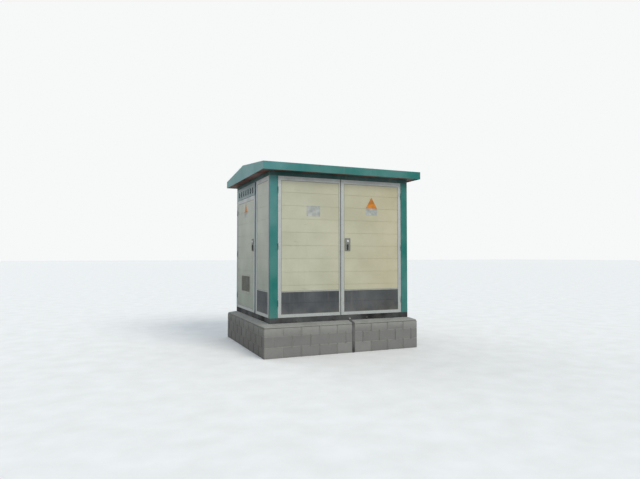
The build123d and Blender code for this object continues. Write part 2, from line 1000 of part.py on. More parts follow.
# Locks: a plate with a hollow for the lever, a key cylinder, and a lever on a spindle
def lock_plate_on(plane, u):
    face = plane.offset(-board_recess)
    with BuildSketch(face) as outline:
        with Locations((u, lock_middle)):
            RectangleRounded(lock_width, lock_length, lock_corner)
    extrude(outline.sketch, amount=lock_thickness)
    with BuildSketch(face.offset(lock_thickness)) as outline:
        with Locations((u, lock_middle - hollow_drop)):
            RectangleRounded(hollow_width, hollow_length, lock_corner)
    extrude(outline.sketch, amount=-lock_hollow, mode=Mode.SUBTRACT)
    with BuildSketch(face) as outline:
        with Locations((u, spindle_height)):
            Circle(spindle_radius + spindle_clearance)
        with Locations((u, cylinder_height)):
            Circle(cylinder_radius + spindle_clearance)
    extrude(outline.sketch, amount=lock_thickness, mode=Mode.SUBTRACT)


def lock_cylinder_on(plane, u):
    face = plane.offset(lock_thickness - board_recess)
    with BuildSketch(face) as outline:
        with Locations((u, cylinder_height)):
            Circle(cylinder_rim)
    extrude(outline.sketch, amount=cylinder_proud)
    with BuildSketch(face) as outline:
        with Locations((u, cylinder_height)):
            Circle(cylinder_radius)
    extrude(outline.sketch, amount=-cylinder_depth)
    with BuildSketch(face.offset(cylinder_proud)) as outline:
        with Locations((u, cylinder_height)):
            Rectangle(keyway_width, keyway_length)
    extrude(outline.sketch, amount=-2 * cylinder_proud, mode=Mode.SUBTRACT)


lever_seat = lock_thickness - board_recess + lever_lift
spindle_back = leaf_depth + rod_gap + rod_thickness + 2 * cam_thickness


def lever_on(plane, u):
    # The handle stands clear of the plate, so it can turn over its edge
    with BuildSketch(plane.offset(lever_seat)) as outline:
        with BuildLine():
            top = (u, spindle_height)
            tip = (u, spindle_height - lever_length)
            CenterArc(top, lever_width / 2, 0, 180)
            Line((u - lever_width / 2, top[1]), (u - lever_tip / 2, tip[1]))
            CenterArc(tip, lever_tip / 2, 180, 180)
            Line((u + lever_tip / 2, tip[1]), (u + lever_width / 2, top[1]))
        make_face()
    extrude(outline.sketch, amount=lever_thickness)
    with BuildSketch(plane.offset(lever_seat)) as outline:
        with Locations((u, spindle_height)):
            Circle(spindle_radius)
    extrude(outline.sketch, amount=-(lever_seat + spindle_back))


def cam_on(plane, u, side):
    # A tongue behind the leaf that points at the frame it catches
    with BuildSketch(plane.offset(-leaf_depth - rod_gap)) as outline:
        with Locations((u + side * cam_length / 2, spindle_height)):
            RectangleRounded(cam_length + cam_width, cam_width, cam_width / 2 - slit)
    extrude(outline.sketch, amount=-cam_thickness)


with BuildPart() as front_lock_plate:
    lock_plate_on(front_wall, front_lock_u)
pieces["front_lock_plate"] = front_lock_plate

with BuildPart() as left_lock_plate:
    lock_plate_on(left_wall, left_lock_u)
pieces["left_lock_plate"] = left_lock_plate

with BuildPart() as right_lock_plate:
    lock_plate_on(right_wall, right_lock_u)
pieces["right_lock_plate"] = right_lock_plate

with BuildPart() as front_lock_cylinder:
    lock_cylinder_on(front_wall, front_lock_u)
pieces["front_lock_cylinder"] = front_lock_cylinder

with BuildPart() as left_lock_cylinder:
    lock_cylinder_on(left_wall, left_lock_u)
pieces["left_lock_cylinder"] = left_lock_cylinder

with BuildPart() as right_lock_cylinder:
    lock_cylinder_on(right_wall, right_lock_u)
pieces["right_lock_cylinder"] = right_lock_cylinder

with BuildPart() as front_lock_lever:
    lever_on(front_wall, front_lock_u)
pieces["front_lock_lever"] = front_lock_lever

with BuildPart() as left_lock_lever:
    lever_on(left_wall, left_lock_u)
    cam_on(left_wall, left_lock_u, 1)
pieces["left_lock_lever"] = left_lock_lever

with BuildPart() as right_lock_lever:
    lever_on(right_wall, right_lock_u)
    cam_on(right_wall, right_lock_u, -1)
pieces["right_lock_lever"] = right_lock_lever

# Pinion on the front spindle, in mesh with a rack on each rod
pitch_radius = tooth_module * tooth_count / 2
base_radius = pitch_radius * cos(pressure_angle * pi / 180)
tip_radius = pitch_radius + addendum_share * tooth_module
root_radius = pitch_radius - dedendum_share * tooth_module
tooth_pitch = pi * tooth_module
flank_steps = 5


def involute_turn(radius):
    # Angle that the flank has turned through at a radius, from its start on the base circle
    reach = sqrt(max(radius**2 / base_radius**2 - 1, 0))
    return reach - (pi / 2 - asin(1 / sqrt(1 + reach**2)))


half_tooth = (tooth_pitch / 2 - backlash) / 2 / pitch_radius + involute_turn(pitch_radius)
pinion_front = leaf_depth + rod_gap


def tooth_outline(turn):
    flank_drop = (tip_radius - base_radius) / flank_steps
    radii = [base_radius + flank_drop * step for step in range(flank_steps + 1)]
    right = [(radius, turn - half_tooth + involute_turn(radius)) for radius in radii]
    left = [(radius, turn + half_tooth - involute_turn(radius)) for radius in reversed(radii)]
    start = (root_radius - tooth_module / 4, turn - half_tooth)
    end = (root_radius - tooth_module / 4, turn + half_tooth)
    return [(r * cos(a), r * sin(a)) for r, a in [start, *right, *left, end]]


with BuildPart() as front_lock_pinion:
    with BuildSketch(front_wall.offset(-pinion_front)):
        with Locations((front_lock_u, spindle_height)):
            Circle(root_radius)
        for tooth in range(tooth_count):
            outline = tooth_outline(2 * pi * tooth / tooth_count)
            with BuildLine():
                Polyline(*[(front_lock_u + x, spindle_height + y) for x, y in outline], close=True)
            make_face()
        with Locations((front_lock_u, spindle_height)):
            Circle(spindle_radius, mode=Mode.SUBTRACT)
    extrude(amount=-rod_thickness)
pieces["front_lock_pinion"] = front_lock_pinion

# Rods: each has a rack beside the pinion and runs to the frame at its far end
rack_addendum = addendum_share * tooth_module
rack_root = dedendum_share * tooth_module
rack_slant = tan(pressure_angle * pi / 180)
rack_half = (tooth_pitch / 2 - backlash) / 2


def rack_rod(side, far_end):
    # side is -1 for the rod left of the spindle
    edge_u = front_lock_u + side * (pitch_radius + rack_root)
    near = spindle_height + (-1 if far_end > spindle_height else 1) * rack_teeth / 2 * tooth_pitch
    with BuildSketch(front_wall.offset(-rods_depth)) as outline:
        sketch_rectangle(
            min(edge_u, edge_u + side * rod_width),
            max(edge_u, edge_u + side * rod_width),
            min(near, far_end),
            max(near, far_end),
        )
        for tooth in range(rack_teeth):
            middle = spindle_height + (tooth - rack_teeth / 2 + 0.5) * tooth_pitch
            tip = rack_half - rack_addendum * rack_slant
            foot = rack_half + rack_root * rack_slant
            with BuildLine():
                Polyline(
                    (edge_u, middle - foot),
                    (front_lock_u + side * (pitch_radius - rack_addendum), middle - tip),
                    (front_lock_u + side * (pitch_radius - rack_addendum), middle + tip),
                    (edge_u, middle + foot),
                    close=True,
                )
            make_face()
    extrude(outline.sketch, amount=-rod_thickness)


with BuildPart() as front_rod_top:
    rack_rod(-1, opening_head - rod_end_gap)
pieces["front_rod_top"] = front_rod_top

with BuildPart() as front_rod_foot:
    rack_rod(1, case_foot + rod_end_gap)
pieces["front_rod_foot"] = front_rod_foot


# Bolts on the passive front leaf, each with a finger knob
def passive_bolt(far_end, direction):
    near = far_end - direction * bolt_rod_length
    with BuildSketch(front_wall.offset(-rods_depth)) as outline:
        sketch_rectangle(
            bolt_rod_u - rod_width / 2, bolt_rod_u + rod_width / 2, min(near, far_end), max(near, far_end)
        )
    extrude(outline.sketch, amount=-rod_thickness)
    with BuildSketch(front_wall.offset(-rods_depth - rod_thickness)) as outline:
        with Locations((bolt_rod_u, near + direction * 2 * bolt_knob_radius)):
            Circle(bolt_knob_radius)
    extrude(outline.sketch, amount=-bolt_knob_length)


with BuildPart() as front_left_bolt_top:
    passive_bolt(opening_head - rod_end_gap, 1)
pieces["front_left_bolt_top"] = front_left_bolt_top

with BuildPart() as front_left_bolt_foot:
    passive_bolt(case_foot + rod_end_gap, -1)
pieces["front_left_bolt_foot"] = front_left_bolt_foot

# Partitions: a cross wall behind the transformer and a wall between the rear rooms
cross_end = half_width - mullion_depth
cross_half = partition_thickness / 2
plank_head = case_foot + plank_thickness
bar_level = plank_head + lv_height + bar_over
lv_places = [(step - 1.5) * lv_pitch for step in range(4)]
with BuildPart() as partitions:
    with BuildSketch(Plane.XZ.offset(-partition_y - cross_half)):
        sketch_rectangle(-cross_end, cross_end, case_foot, opening_head)
        sketch_rectangle(-half_width + beam_depth, half_width - beam_depth, opening_head, soffit_height)
        for x in lv_places:
            sketch_rectangle(
                x - bar_width / 2 - bar_slot_gap,
                x + bar_width / 2 + bar_slot_gap,
                bar_level - bar_slot_gap,
                bar_level + bar_thickness + bar_slot_gap,
                Mode.SUBTRACT,
            )
    extrude(amount=partition_thickness)
    mid_start = partition_y + cross_half + slit
    mid_end = half_depth - leaf_depth
    with BuildSketch(Plane.YZ.offset(mid_wall_place - cross_half)):
        sketch_rectangle(mid_start, mid_end, case_foot, opening_head)
        sketch_rectangle(mid_start, half_depth - beam_depth, opening_head, soffit_height)
    extrude(amount=partition_thickness)
pieces["partitions"] = partitions

# Floor planks on the base frame, with gaps left for cables
plank_edge = half_width - flange_reach + plank_seat
front_plank_y0 = -half_depth + flange_reach - plank_seat
with BuildPart() as floor_planks:
    for side in (-1, 1):
        near_x = side * (rail_gauge / 2 + cross_width / 2 - plank_seat)
        level_block(
            min(near_x, side * plank_edge),
            max(near_x, side * plank_edge),
            front_plank_y0,
            partition_y - cross_half - slit,
            case_foot,
            plank_head,
        )
    rear_y0 = partition_y + cross_half + slit
    rear_y1 = half_depth - flange_reach + plank_seat
    plank_depth = (rear_y1 - rear_y0 - cable_gap) / 2
    for x0, x1 in (
        (-plank_edge, mid_wall_place - cross_half - slit),
        (mid_wall_place + cross_half + slit, plank_edge),
    ):
        level_block(x0, x1, rear_y0, rear_y0 + plank_depth, case_foot, plank_head)
        level_block(x0, x1, rear_y1 - plank_depth, rear_y1, case_foot, plank_head)
pieces["floor_planks"] = floor_planks

# Roof: a gabled sheet shell with gable ends, over a flat soffit
roof_half_width = half_width + roof_end_overhang
roof_half_depth = half_depth + roof_front_overhang
fascia_foot = soffit_height - fascia_drop
eave = fascia_foot + fascia_height
ridge = eave + ridge_rise
slope_run = sqrt(roof_half_depth**2 + ridge_rise**2)
ridge_drop = roof_sheet * slope_run / roof_half_depth


def gable_outline(inset, foot, drop):
    side = roof_half_depth - inset
    shoulder = ridge - drop - ridge_rise * side / roof_half_depth
    return ((-side, foot), (-side, shoulder), (0, ridge - drop), (side, shoulder), (side, foot))


with BuildPart() as roof_shell:
    with BuildSketch(Plane.YZ.offset(-roof_half_width)):
        with BuildLine():
            Polyline(*gable_outline(0, fascia_foot, 0), close=True)
        make_face()
    extrude(amount=2 * roof_half_width)
    with BuildSketch(Plane.YZ.offset(-roof_half_width + roof_sheet)):
        with BuildLine():
            Polyline(*gable_outline(roof_sheet, fascia_foot, ridge_drop), close=True)
        make_face()
    extrude(amount=2 * (roof_half_width - roof_sheet), mode=Mode.SUBTRACT)

def slope_point(y, lift):
    # A point over the roof's slope, lifted square to it
    return y, ridge - ridge_rise * abs(y) / roof_half_depth + lift * slope_run / roof_half_depth


# Ridge cap and the standing seams between the roof's sheets
with BuildPart() as roof_joints:
    with BuildSketch(Plane.YZ.offset(-roof_half_width)):
        with BuildLine():
            Polyline(
                *[slope_point(y, 0) for y in (-cap_reach, 0, cap_reach)],
                *[slope_point(y, cap_sheet) for y in (cap_reach, 0, -cap_reach)],
                close=True,
            )
        make_face()
    extrude(amount=2 * roof_half_width)
    for seam_x in (-seam_place, seam_place):
        with BuildSketch(Plane.YZ.offset(seam_x - seam_width / 2)):
            for side in (-1, 1):
                near = side * cap_reach
                far = side * roof_half_depth
                bend = side * (roof_half_depth - seam_fold)
                with BuildLine():
                    Polyline(
                        slope_point(near, 0),
                        slope_point(far, 0),
                        slope_point(far, seam_foot),
                        slope_point(bend, seam_height),
                        slope_point(near, seam_height),
                        close=True,
                    )
                make_face()
        extrude(amount=seam_width)

# The roof is one weldment: its shell carries the cap and the seams
with BuildPart() as roof:
    add(roof_shell.part)
    add(roof_joints.part)
pieces["roof_shell"] = roof

with BuildPart() as roof_soffit:
    inner_x = roof_half_width - roof_sheet
    inner_y = roof_half_depth - roof_sheet
    level_block(-inner_x, inner_x, -inner_y, inner_y, soffit_height, soffit_height + soffit_sheet)
pieces["roof_soffit"] = roof_soffit


# Transformer: a sealed tank with folded cooling fins, on two skids
room_middle_y = (-half_depth + leaf_depth + partition_y - cross_half) / 2
tank_foot = case_foot + skid_height
tank_head = tank_foot + tank_height
with BuildPart() as transformer_tank:
    level_block(
        -tank_length / 2,
        tank_length / 2,
        room_middle_y - tank_width / 2,
        room_middle_y + tank_width / 2,
        tank_foot,
        tank_head,
    )
    level_block(
        -tank_length / 2 - rim,
        tank_length / 2 + rim,
        room_middle_y - tank_width / 2 - rim,
        room_middle_y + tank_width / 2 + rim,
        tank_head - cover_thickness,
        tank_head,
    )
    fin_foot = tank_foot + fin_margin
    with BuildSketch(Plane.XY.offset(fin_foot)):
        with Locations((0, room_middle_y)):
            with GridLocations(fin_pitch, 0, int(tank_length / fin_pitch), 1):
                Rectangle(fin_thickness, tank_width + 2 * fin_depth)
            with GridLocations(0, fin_pitch, 1, int(tank_width / fin_pitch)):
                Rectangle(tank_length + 2 * fin_depth, fin_thickness)
    extrude(amount=tank_height - 2 * fin_margin)
    for skid_x in (-rail_gauge / 2, rail_gauge / 2):
        level_block(
            skid_x - skid_width / 2,
            skid_x + skid_width / 2,
            room_middle_y - tank_width / 2 - fin_depth,
            room_middle_y + tank_width / 2 + fin_depth,
            case_foot,
            tank_foot,
        )
pieces["transformer_tank"] = transformer_tank

cover_head = tank_head + cover_thickness
with BuildPart() as transformer_cover:
    level_block(
        -tank_length / 2 - rim,
        tank_length / 2 + rim,
        room_middle_y - tank_width / 2 - rim,
        room_middle_y + tank_width / 2 + rim,
        tank_head,
        cover_head,
    )
    for lug_x in (-tank_length / 2 + lug_inset, tank_length / 2 - lug_inset):
        with BuildSketch(Plane.YZ.offset(lug_x - lug_thickness / 2)):
            with Locations((room_middle_y, cover_head + lug_height / 2)):
                Rectangle(lug_width, lug_height)
                Circle(lug_hole_radius, mode=Mode.SUBTRACT)
        extrude(amount=lug_thickness)


def bushing(x, y, radius, height, neck, shed_reach, stud, stud_height, sheds):
    # Porcelain body with a sloping shed at each step, under a threaded stud
    shed_pitch = height / (sheds + 1)
    points = [(0, 0), (radius, 0), (radius, shed_pitch / 2)]
    for shed in range(sheds):
        base = shed_pitch * (shed + 0.5)
        points += [(neck, base), (shed_reach, base + shed_pitch / 3), (neck, base + shed_pitch * 3 / 4)]
    points += [(neck, height), (stud, height), (stud, height + stud_height), (0, height + stud_height)]
    with BuildPart(mode=Mode.PRIVATE) as turned:
        with BuildSketch(Plane.XZ) as outline:
            with BuildLine():
                Polyline(*points, close=True)
            make_face()
        revolve(axis=Axis.Z)
    with Locations((x, y, cover_head)):
        add(turned.part)


hv_row_y = room_middle_y - bushing_row
lv_row_y = room_middle_y + bushing_row
hv_places = [(step - 1) * hv_pitch for step in range(3)]
with BuildPart() as hv_bushings:
    for x in hv_places:
        bushing(
            x,
            hv_row_y,
            hv_bushing_radius,
            hv_bushing_height,
            hv_neck_radius,
            hv_shed_radius,
            hv_stud_radius,
            hv_stud_height,
            hv_sheds,
        )
pieces["hv_bushings"] = hv_bushings

with BuildPart() as lv_bushings:
    for x in lv_places:
        bushing(
            x,
            lv_row_y,
            lv_bushing_radius,
            lv_bushing_height,
            lv_neck_radius,
            lv_shed_radius,
            lv_stud_radius,
            lv_stud_height,
            lv_sheds,
        )

tap_place = (tank_length / 2 - tap_inset, room_middle_y)
with BuildPart() as tap_knob:
    with BuildSketch(Plane.XY.offset(cover_head)):
        with Locations(tap_place):
            Circle(knob_radius)
    extrude(amount=knob_height)
    with BuildSketch(Plane.XY.offset(cover_head + knob_height)):
        with Locations(tap_place):
            SlotOverall(2 * (knob_radius - knob_edge), knob_grip)
    extrude(amount=knob_grip_height)
pieces["tap_knob"] = tap_knob


def stepped_fitting(plane, *steps):
    # A round body in steps, each given by its radius and its length
    at = 0
    for radius, length in steps:
        with BuildSketch(plane.offset(at)) as outline:
            Circle(radius)
        extrude(outline.sketch, amount=length)
        at += length


# Filler pipe, thermometer and relief valve on thin gaskets, drain valve under the fins
with BuildPart() as transformer_fittings:
    for place, steps in (
        (filler_place, ((filler_radius, filler_height), (filler_cap_radius, filler_cap_height))),
        (pocket_place, ((pocket_radius, pocket_height), (gauge_radius, gauge_height))),
        (relief_place, ((relief_flange_radius, relief_flange_height), (relief_radius, relief_height))),
    ):
        stepped_fitting(Plane(origin=(place, room_middle_y, cover_head + slit)), *steps)
    stepped_fitting(
        Plane(
            origin=(0, room_middle_y - tank_width / 2, tank_foot + fin_margin / 2),
            x_dir=(1, 0, 0),
            z_dir=(0, -1, 0),
        ),
        (drain_radius, drain_length),
        (valve_radius, valve_length),
    )

with BuildPart() as fitted_cover:
    add(transformer_cover.part)
    add(transformer_fittings.part)
pieces["transformer_cover"] = fitted_cover

# Low-voltage panel against the mid wall, its breakers facing the left end door
panel_back = mid_wall_place - cross_half
panel_face = panel_back - lv_sheet
panel_y = (partition_y + cross_half + half_depth - leaf_depth) / 2
panel_foot = plank_head
bar_drop_x = panel_face - breaker_depth / 3
with BuildPart() as lv_panel:
    level_block(
        panel_back - lv_depth,
        panel_back,
        panel_y - lv_width / 2,
        panel_y + lv_width / 2,
        panel_foot,
        panel_foot + lv_height,
    )
    level_block(
        panel_back - lv_depth,
        panel_face,
        panel_y - lv_width / 2 + lv_sheet,
        panel_y + lv_width / 2 - lv_sheet,
        panel_foot,
        panel_foot + lv_height - lv_sheet,
        mode=Mode.SUBTRACT,
    )
    bars_half = 1.5 * phase_pitch + bar_width / 2 + bar_slot_gap
    level_block(
        bar_drop_x - bar_thickness - bar_slot_gap,
        bar_drop_x + bar_slot_gap,
        panel_y - bars_half,
        panel_y + bars_half,
        panel_foot + lv_height - lv_sheet,
        panel_foot + lv_height,
        mode=Mode.SUBTRACT,
    )
pieces["lv_panel"] = lv_panel

# Breakers: one main unit above three feeders, each with a slot for its toggle
panel_plane = Plane(origin=(panel_face, panel_y, panel_foot), x_dir=(0, -1, 0), z_dir=(-1, 0, 0))
feeder_places = [(step - (feeder_count - 1) / 2) * feeder_pitch for step in range(feeder_count)]


def breaker(u, rise, width, height):
    with BuildSketch(panel_plane) as outline:
        with Locations((u, rise)):
            Rectangle(width, height)
    extrude(outline.sketch, amount=breaker_depth)
    with BuildSketch(panel_plane.offset(breaker_depth)) as outline:
        with Locations((u, rise)):
            Rectangle(toggle_width + 2 * toggle_clearance, toggle_slot_reach)
    extrude(outline.sketch, amount=-toggle_slot_depth, mode=Mode.SUBTRACT)


with BuildPart() as lv_breakers:
    breaker(0, main_rise, main_width, main_height)
    for u in feeder_places:
        breaker(u, feeder_rise, feeder_width, feeder_height)
pieces["lv_breakers"] = lv_breakers


def toggle(u, rise, reach):
    # A toggle that rocks on a pin across the bottom of its slot
    pin_depth = breaker_depth - toggle_slot_depth / 2
    side = Plane(
        origin=panel_plane.from_local_coords((u - toggle_width / 2, rise, pin_depth)),
        x_dir=(-1, 0, 0),
        z_dir=(0, -1, 0),
    )
    with BuildSketch(side) as outline:
        Circle(toggle_hub)
        sketch_rectangle(0, toggle_slot_depth / 2 + reach, -toggle_hub / 2, toggle_hub / 2)
    extrude(outline.sketch, amount=toggle_width)


with BuildPart() as lv_main_toggle:
    toggle(0, main_rise, main_toggle_reach)
pieces["lv_main_toggle"] = lv_main_toggle

for index, u in enumerate(feeder_places):
    with BuildPart() as feeder_toggle:
        toggle(u, feeder_rise, toggle_reach)
    pieces[f"lv_feeder_toggle_{index + 1}"] = feeder_toggle

# Copper bars: each rises from its bushing, crosses the partition over the panel and
# drops to its own pole of the main breaker
stud_top = cover_head + lv_bushing_height + lv_stud_height
palm = bar_width / 2
with BuildPart() as lv_busbars:
    for step, x in enumerate(lv_places):
        pole_y = panel_y + (1.5 - step) * phase_pitch
        with BuildSketch(Plane.YZ.offset(x - bar_width / 2)):
            with BuildLine():
                riser = Polyline(
                    (lv_row_y - palm, stud_top),
                    (lv_row_y + palm, stud_top),
                    (lv_row_y + palm, bar_level),
                    (pole_y + palm, bar_level),
                )
                offset(riser, amount=bar_thickness, side=Side.LEFT, kind=Kind.INTERSECTION)
            make_face()
        extrude(amount=bar_width)
        with BuildSketch(Plane.XZ.offset(-pole_y - palm)):
            with BuildLine():
                drop = Polyline(
                    (x - palm, bar_level + bar_thickness),
                    (bar_drop_x, bar_level + bar_thickness),
                    (bar_drop_x, panel_foot + main_rise + main_height / 2),
                )
                offset(drop, amount=bar_thickness, side=Side.LEFT, kind=Kind.INTERSECTION)
            make_face()
        extrude(amount=bar_width)

# Level bars from the main unit to the feeders: a lower bar lies deeper, so each phase's
# droppers pass clear of the other phases
feeder_head = feeder_rise + feeder_height / 2
main_underside = main_rise - main_height / 2
phase_count = len(lv_places)
spread_half = feeder_places[-1] + (phase_count - 1) / 2 * feeder_phase_pitch + dropper_width / 2 + spread_end


def phase_offset(step, pitch):
    return (step - (phase_count - 1) / 2) * pitch


def spread_rise(step):
    return feeder_head + (main_underside - feeder_head) * (step + 1) / (phase_count + 1)


with BuildPart() as lv_distribution_bars:
    for step in range(phase_count):
        level = spread_rise(step)
        low = level - spread_height / 2
        high = level + spread_height / 2
        back = spread_first + step * spread_stagger
        front = back + spread_thickness
        upright_block(panel_plane, -spread_half, spread_half, low, high, -front, -back)
        drops = [(phase_offset(step, phase_pitch), low, main_underside)]
        drops += [(u + phase_offset(step, feeder_phase_pitch), feeder_head, high) for u in feeder_places]
        for u, foot, head in drops:
            half = dropper_width / 2
            upright_block(panel_plane, u - half, u + half, foot, head, -front - spread_thickness, -front)

# The copper is one set too: the bars to the main unit and those past it
with BuildPart() as lv_copper:
    add(lv_busbars.part)
    add(lv_distribution_bars.part)
pieces["lv_busbars"] = lv_copper

with BuildPart() as lv_standoffs:
    for step in range(phase_count):
        for u in (-spread_half + spread_height, spread_half - spread_height):
            with BuildSketch(panel_plane) as outline:
                with Locations((u, spread_rise(step))):
                    Circle(standoff_radius)
            extrude(outline.sketch, amount=spread_first + step * spread_stagger)

# The low-voltage porcelain is one set: bushings on the tank, standoffs on the panel
with BuildPart() as lv_porcelain:
    add(lv_bushings.part)
    add(lv_standoffs.part)
pieces["lv_bushings"] = lv_porcelain

# High-voltage cabinet in the right room, facing the right end door
hv_back = mid_wall_place + cross_half
hv_y = panel_y
with BuildPart() as hv_cabinet:
    level_block(
        hv_back,
        hv_back + hv_depth,
        hv_y - hv_width / 2,
        hv_y + hv_width / 2,
        plank_head,
        plank_head + hv_height,
    )
    level_block(
        hv_back + sheet,
        hv_back + hv_depth - sheet,
        hv_y - hv_width / 2 + sheet,
        hv_y + hv_width / 2 - sheet,
        plank_head,
        plank_head + hv_height - sheet,
        mode=Mode.SUBTRACT,
    )
pieces["hv_cabinet"] = hv_cabinet

hv_plane = Plane(origin=(hv_back + hv_depth, hv_y, plank_head), x_dir=(0, 1, 0), z_dir=(1, 0, 0))


def rotary_knob(u, rise):
    with BuildSketch(hv_plane) as outline:
        with Locations((u, rise)):
            Circle(hv_knob_radius)
    extrude(outline.sketch, amount=hv_knob_base)
    with BuildSketch(hv_plane.offset(hv_knob_base)) as outline:
        with Locations((u, rise)):
            SlotOverall(hv_knob_grip_length, hv_knob_grip, rotation=90)
    extrude(outline.sketch, amount=hv_knob_grip_height)


with BuildPart() as hv_load_switch_knob:
    rotary_knob(-hv_knob_off, hv_knob_rise)
pieces["hv_load_switch_knob"] = hv_load_switch_knob

with BuildPart() as hv_earth_switch_knob:
    rotary_knob(hv_knob_off, hv_knob_rise)
pieces["hv_earth_switch_knob"] = hv_earth_switch_knob


def bolted_cover(foot, head):
    # A pressed cover with rounded corners and a rolled front edge
    with BuildSketch(hv_plane) as outline:
        with Locations((0, (foot + head) / 2)):
            RectangleRounded(hv_width - 2 * hv_cover_margin, head - foot, hv_cover_corner)
    extrude(outline.sketch, amount=hv_cover_thickness)


with BuildPart() as hv_covers:
    cable_cover_head = hv_cover_margin + hv_cable_cover_height
    relay_cover_head = hv_height - hv_cover_margin
    bolted_cover(hv_cover_margin, cable_cover_head)
    bolted_cover(relay_cover_head - hv_relay_cover_height, relay_cover_head)
    fillet(hv_covers.faces().group_by(Axis.X)[-1].edges(), hv_cover_edge)

with BuildPart() as hv_cover_handles:
    handle_rise = cable_cover_head - hv_handle_drop
    bend = 2 * hv_handle_radius
    for u in (-hv_handle_place, hv_handle_place):
        middle = hv_plane.from_local_coords((u, handle_rise, hv_cover_thickness))
        level = Plane(origin=middle, x_dir=(0, 1, 0), z_dir=(0, 0, 1))
        half = hv_handle_length / 2
        with BuildLine(level) as bow:
            corners = Polyline((-half, 0), (-half, -hv_handle_reach), (half, -hv_handle_reach), (half, 0))
            fillet(bow.vertices().group_by(Axis.X)[-1], bend)
        with BuildSketch(Plane(origin=bow.line @ 0, z_dir=bow.line % 0)) as section:
            Circle(hv_handle_radius)
        sweep(section.sketch, path=bow.line)

with BuildPart() as hv_gauge:
    with BuildSketch(hv_plane) as outline:
        with Locations((0, hv_gauge_rise)):
            Circle(hv_gauge_radius)
    extrude(outline.sketch, amount=hv_gauge_reach)
    with BuildSketch(hv_plane.offset(hv_gauge_reach)) as outline:
        with Locations((0, hv_gauge_rise)):
            Circle(hv_gauge_radius - hv_gauge_rim)
    extrude(outline.sketch, amount=-hv_gauge_hollow, mode=Mode.SUBTRACT)

# The handles are welded to the lower cover, and the gauge stands free between the covers
with BuildPart() as hv_front_set:
    add(hv_covers.part)
    add(hv_cover_handles.part)
    add(hv_gauge.part)
pieces["hv_covers"] = hv_front_set

os.makedirs("parts", exist_ok=True)
for label, piece in pieces.items():
    piece.part.label = label
    export_step(piece.part, f"parts/{label}.step")
print(len(pieces), "pieces")
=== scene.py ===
import bpy
import json
import math
import random
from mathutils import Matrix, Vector


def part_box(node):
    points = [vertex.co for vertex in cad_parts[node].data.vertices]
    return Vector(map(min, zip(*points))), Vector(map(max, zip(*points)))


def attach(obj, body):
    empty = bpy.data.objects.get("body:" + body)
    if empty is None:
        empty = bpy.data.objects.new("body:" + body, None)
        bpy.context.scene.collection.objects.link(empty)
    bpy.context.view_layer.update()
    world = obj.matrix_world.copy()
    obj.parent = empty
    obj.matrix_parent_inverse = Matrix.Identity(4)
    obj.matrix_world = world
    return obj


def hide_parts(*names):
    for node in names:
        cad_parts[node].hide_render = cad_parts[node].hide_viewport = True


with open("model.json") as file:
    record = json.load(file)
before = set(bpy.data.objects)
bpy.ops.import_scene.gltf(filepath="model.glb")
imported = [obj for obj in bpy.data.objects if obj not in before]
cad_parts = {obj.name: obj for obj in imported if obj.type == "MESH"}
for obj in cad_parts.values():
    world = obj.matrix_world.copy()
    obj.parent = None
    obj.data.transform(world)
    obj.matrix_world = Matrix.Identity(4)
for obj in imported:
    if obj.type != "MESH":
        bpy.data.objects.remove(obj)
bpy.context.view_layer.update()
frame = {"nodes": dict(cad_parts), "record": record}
nodes = frame["nodes"]
random.seed(7)
print("frame loaded:", len(nodes), "nodes")


# ---- helpers

def paint(red, green, blue):
    # a colour as a paint chart gives it, 0 to 255
    def straight(value):
        share = value / 255
        return share / 12.92 if share <= 0.04045 else ((share + 0.055) / 1.055) ** 2.4
    return (straight(red), straight(green), straight(blue), 1.0)


def deselectAll():
    if bpy.context.object and bpy.context.object.mode != "OBJECT":
        bpy.ops.object.mode_set(mode="OBJECT")
    bpy.ops.object.select_all(action="DESELECT")


def pick(piece):
    deselectAll()
    piece.select_set(True)
    bpy.context.view_layer.objects.active = piece


def settle(piece):
    # place and scale go into the mesh, the object stays at the origin
    pick(piece)
    bpy.ops.object.transform_apply(location=True, rotation=True, scale=True)


def startBox(name, low, high):
    deselectAll()
    low = Vector(low)
    high = Vector(high)
    bpy.ops.mesh.primitive_cube_add(size=1, location=(low + high) / 2, scale=high - low)
    piece = bpy.context.object
    piece.name = name
    settle(piece)
    return piece


def startRound(name, middle, radius, depth, turn=(0, 0, 0), sides=24):
    deselectAll()
    bpy.ops.mesh.primitive_cylinder_add(vertices=sides, radius=radius, depth=depth, location=middle,
                                        rotation=turn)
    piece = bpy.context.object
    piece.name = name
    settle(piece)
    return piece


def addModifier(piece, kind, **values):
    modifier = piece.modifiers.new(kind.title(), kind)
    for key, value in values.items():
        setattr(modifier, key, value)
    return modifier


def applyAll(piece):
    pick(piece)
    for modifier in list(piece.modifiers):
        bpy.ops.object.modifier_apply(modifier=modifier.name)


def roundEdges(piece, width, segments=2, angle=40):
    addModifier(piece, "BEVEL", width=width, segments=segments, limit_method="ANGLE",
                angle_limit=math.radians(angle))
    applyAll(piece)
    bpy.ops.object.shade_smooth_by_angle(angle=math.radians(35))


def joinPieces(name, parts):
    deselectAll()
    for part in parts:
        part.select_set(True)
    bpy.context.view_layer.objects.active = parts[0]
    bpy.ops.object.join()
    parts[0].name = name
    return parts[0]


def finishPiece(piece, body, finish):
    piece.data.materials.clear()
    piece.data.materials.append(finish)
    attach(piece, body)
    return piece


# ---- camera, light and floor

view = {"place": (-3.566, -8.561, 1.52), "heading": 22.88, "pitch": 1.9, "lens": 29.0}
deselectAll()
bpy.ops.object.camera_add(
    location=view["place"],
    rotation=(math.radians(90 + view["pitch"]), 0, -math.radians(view["heading"])),
)
camera = bpy.context.object
camera.data.lens = view["lens"]
camera.data.sensor_width = 36
bpy.context.scene.camera = camera
bpy.context.scene.view_settings.view_transform = "Standard"

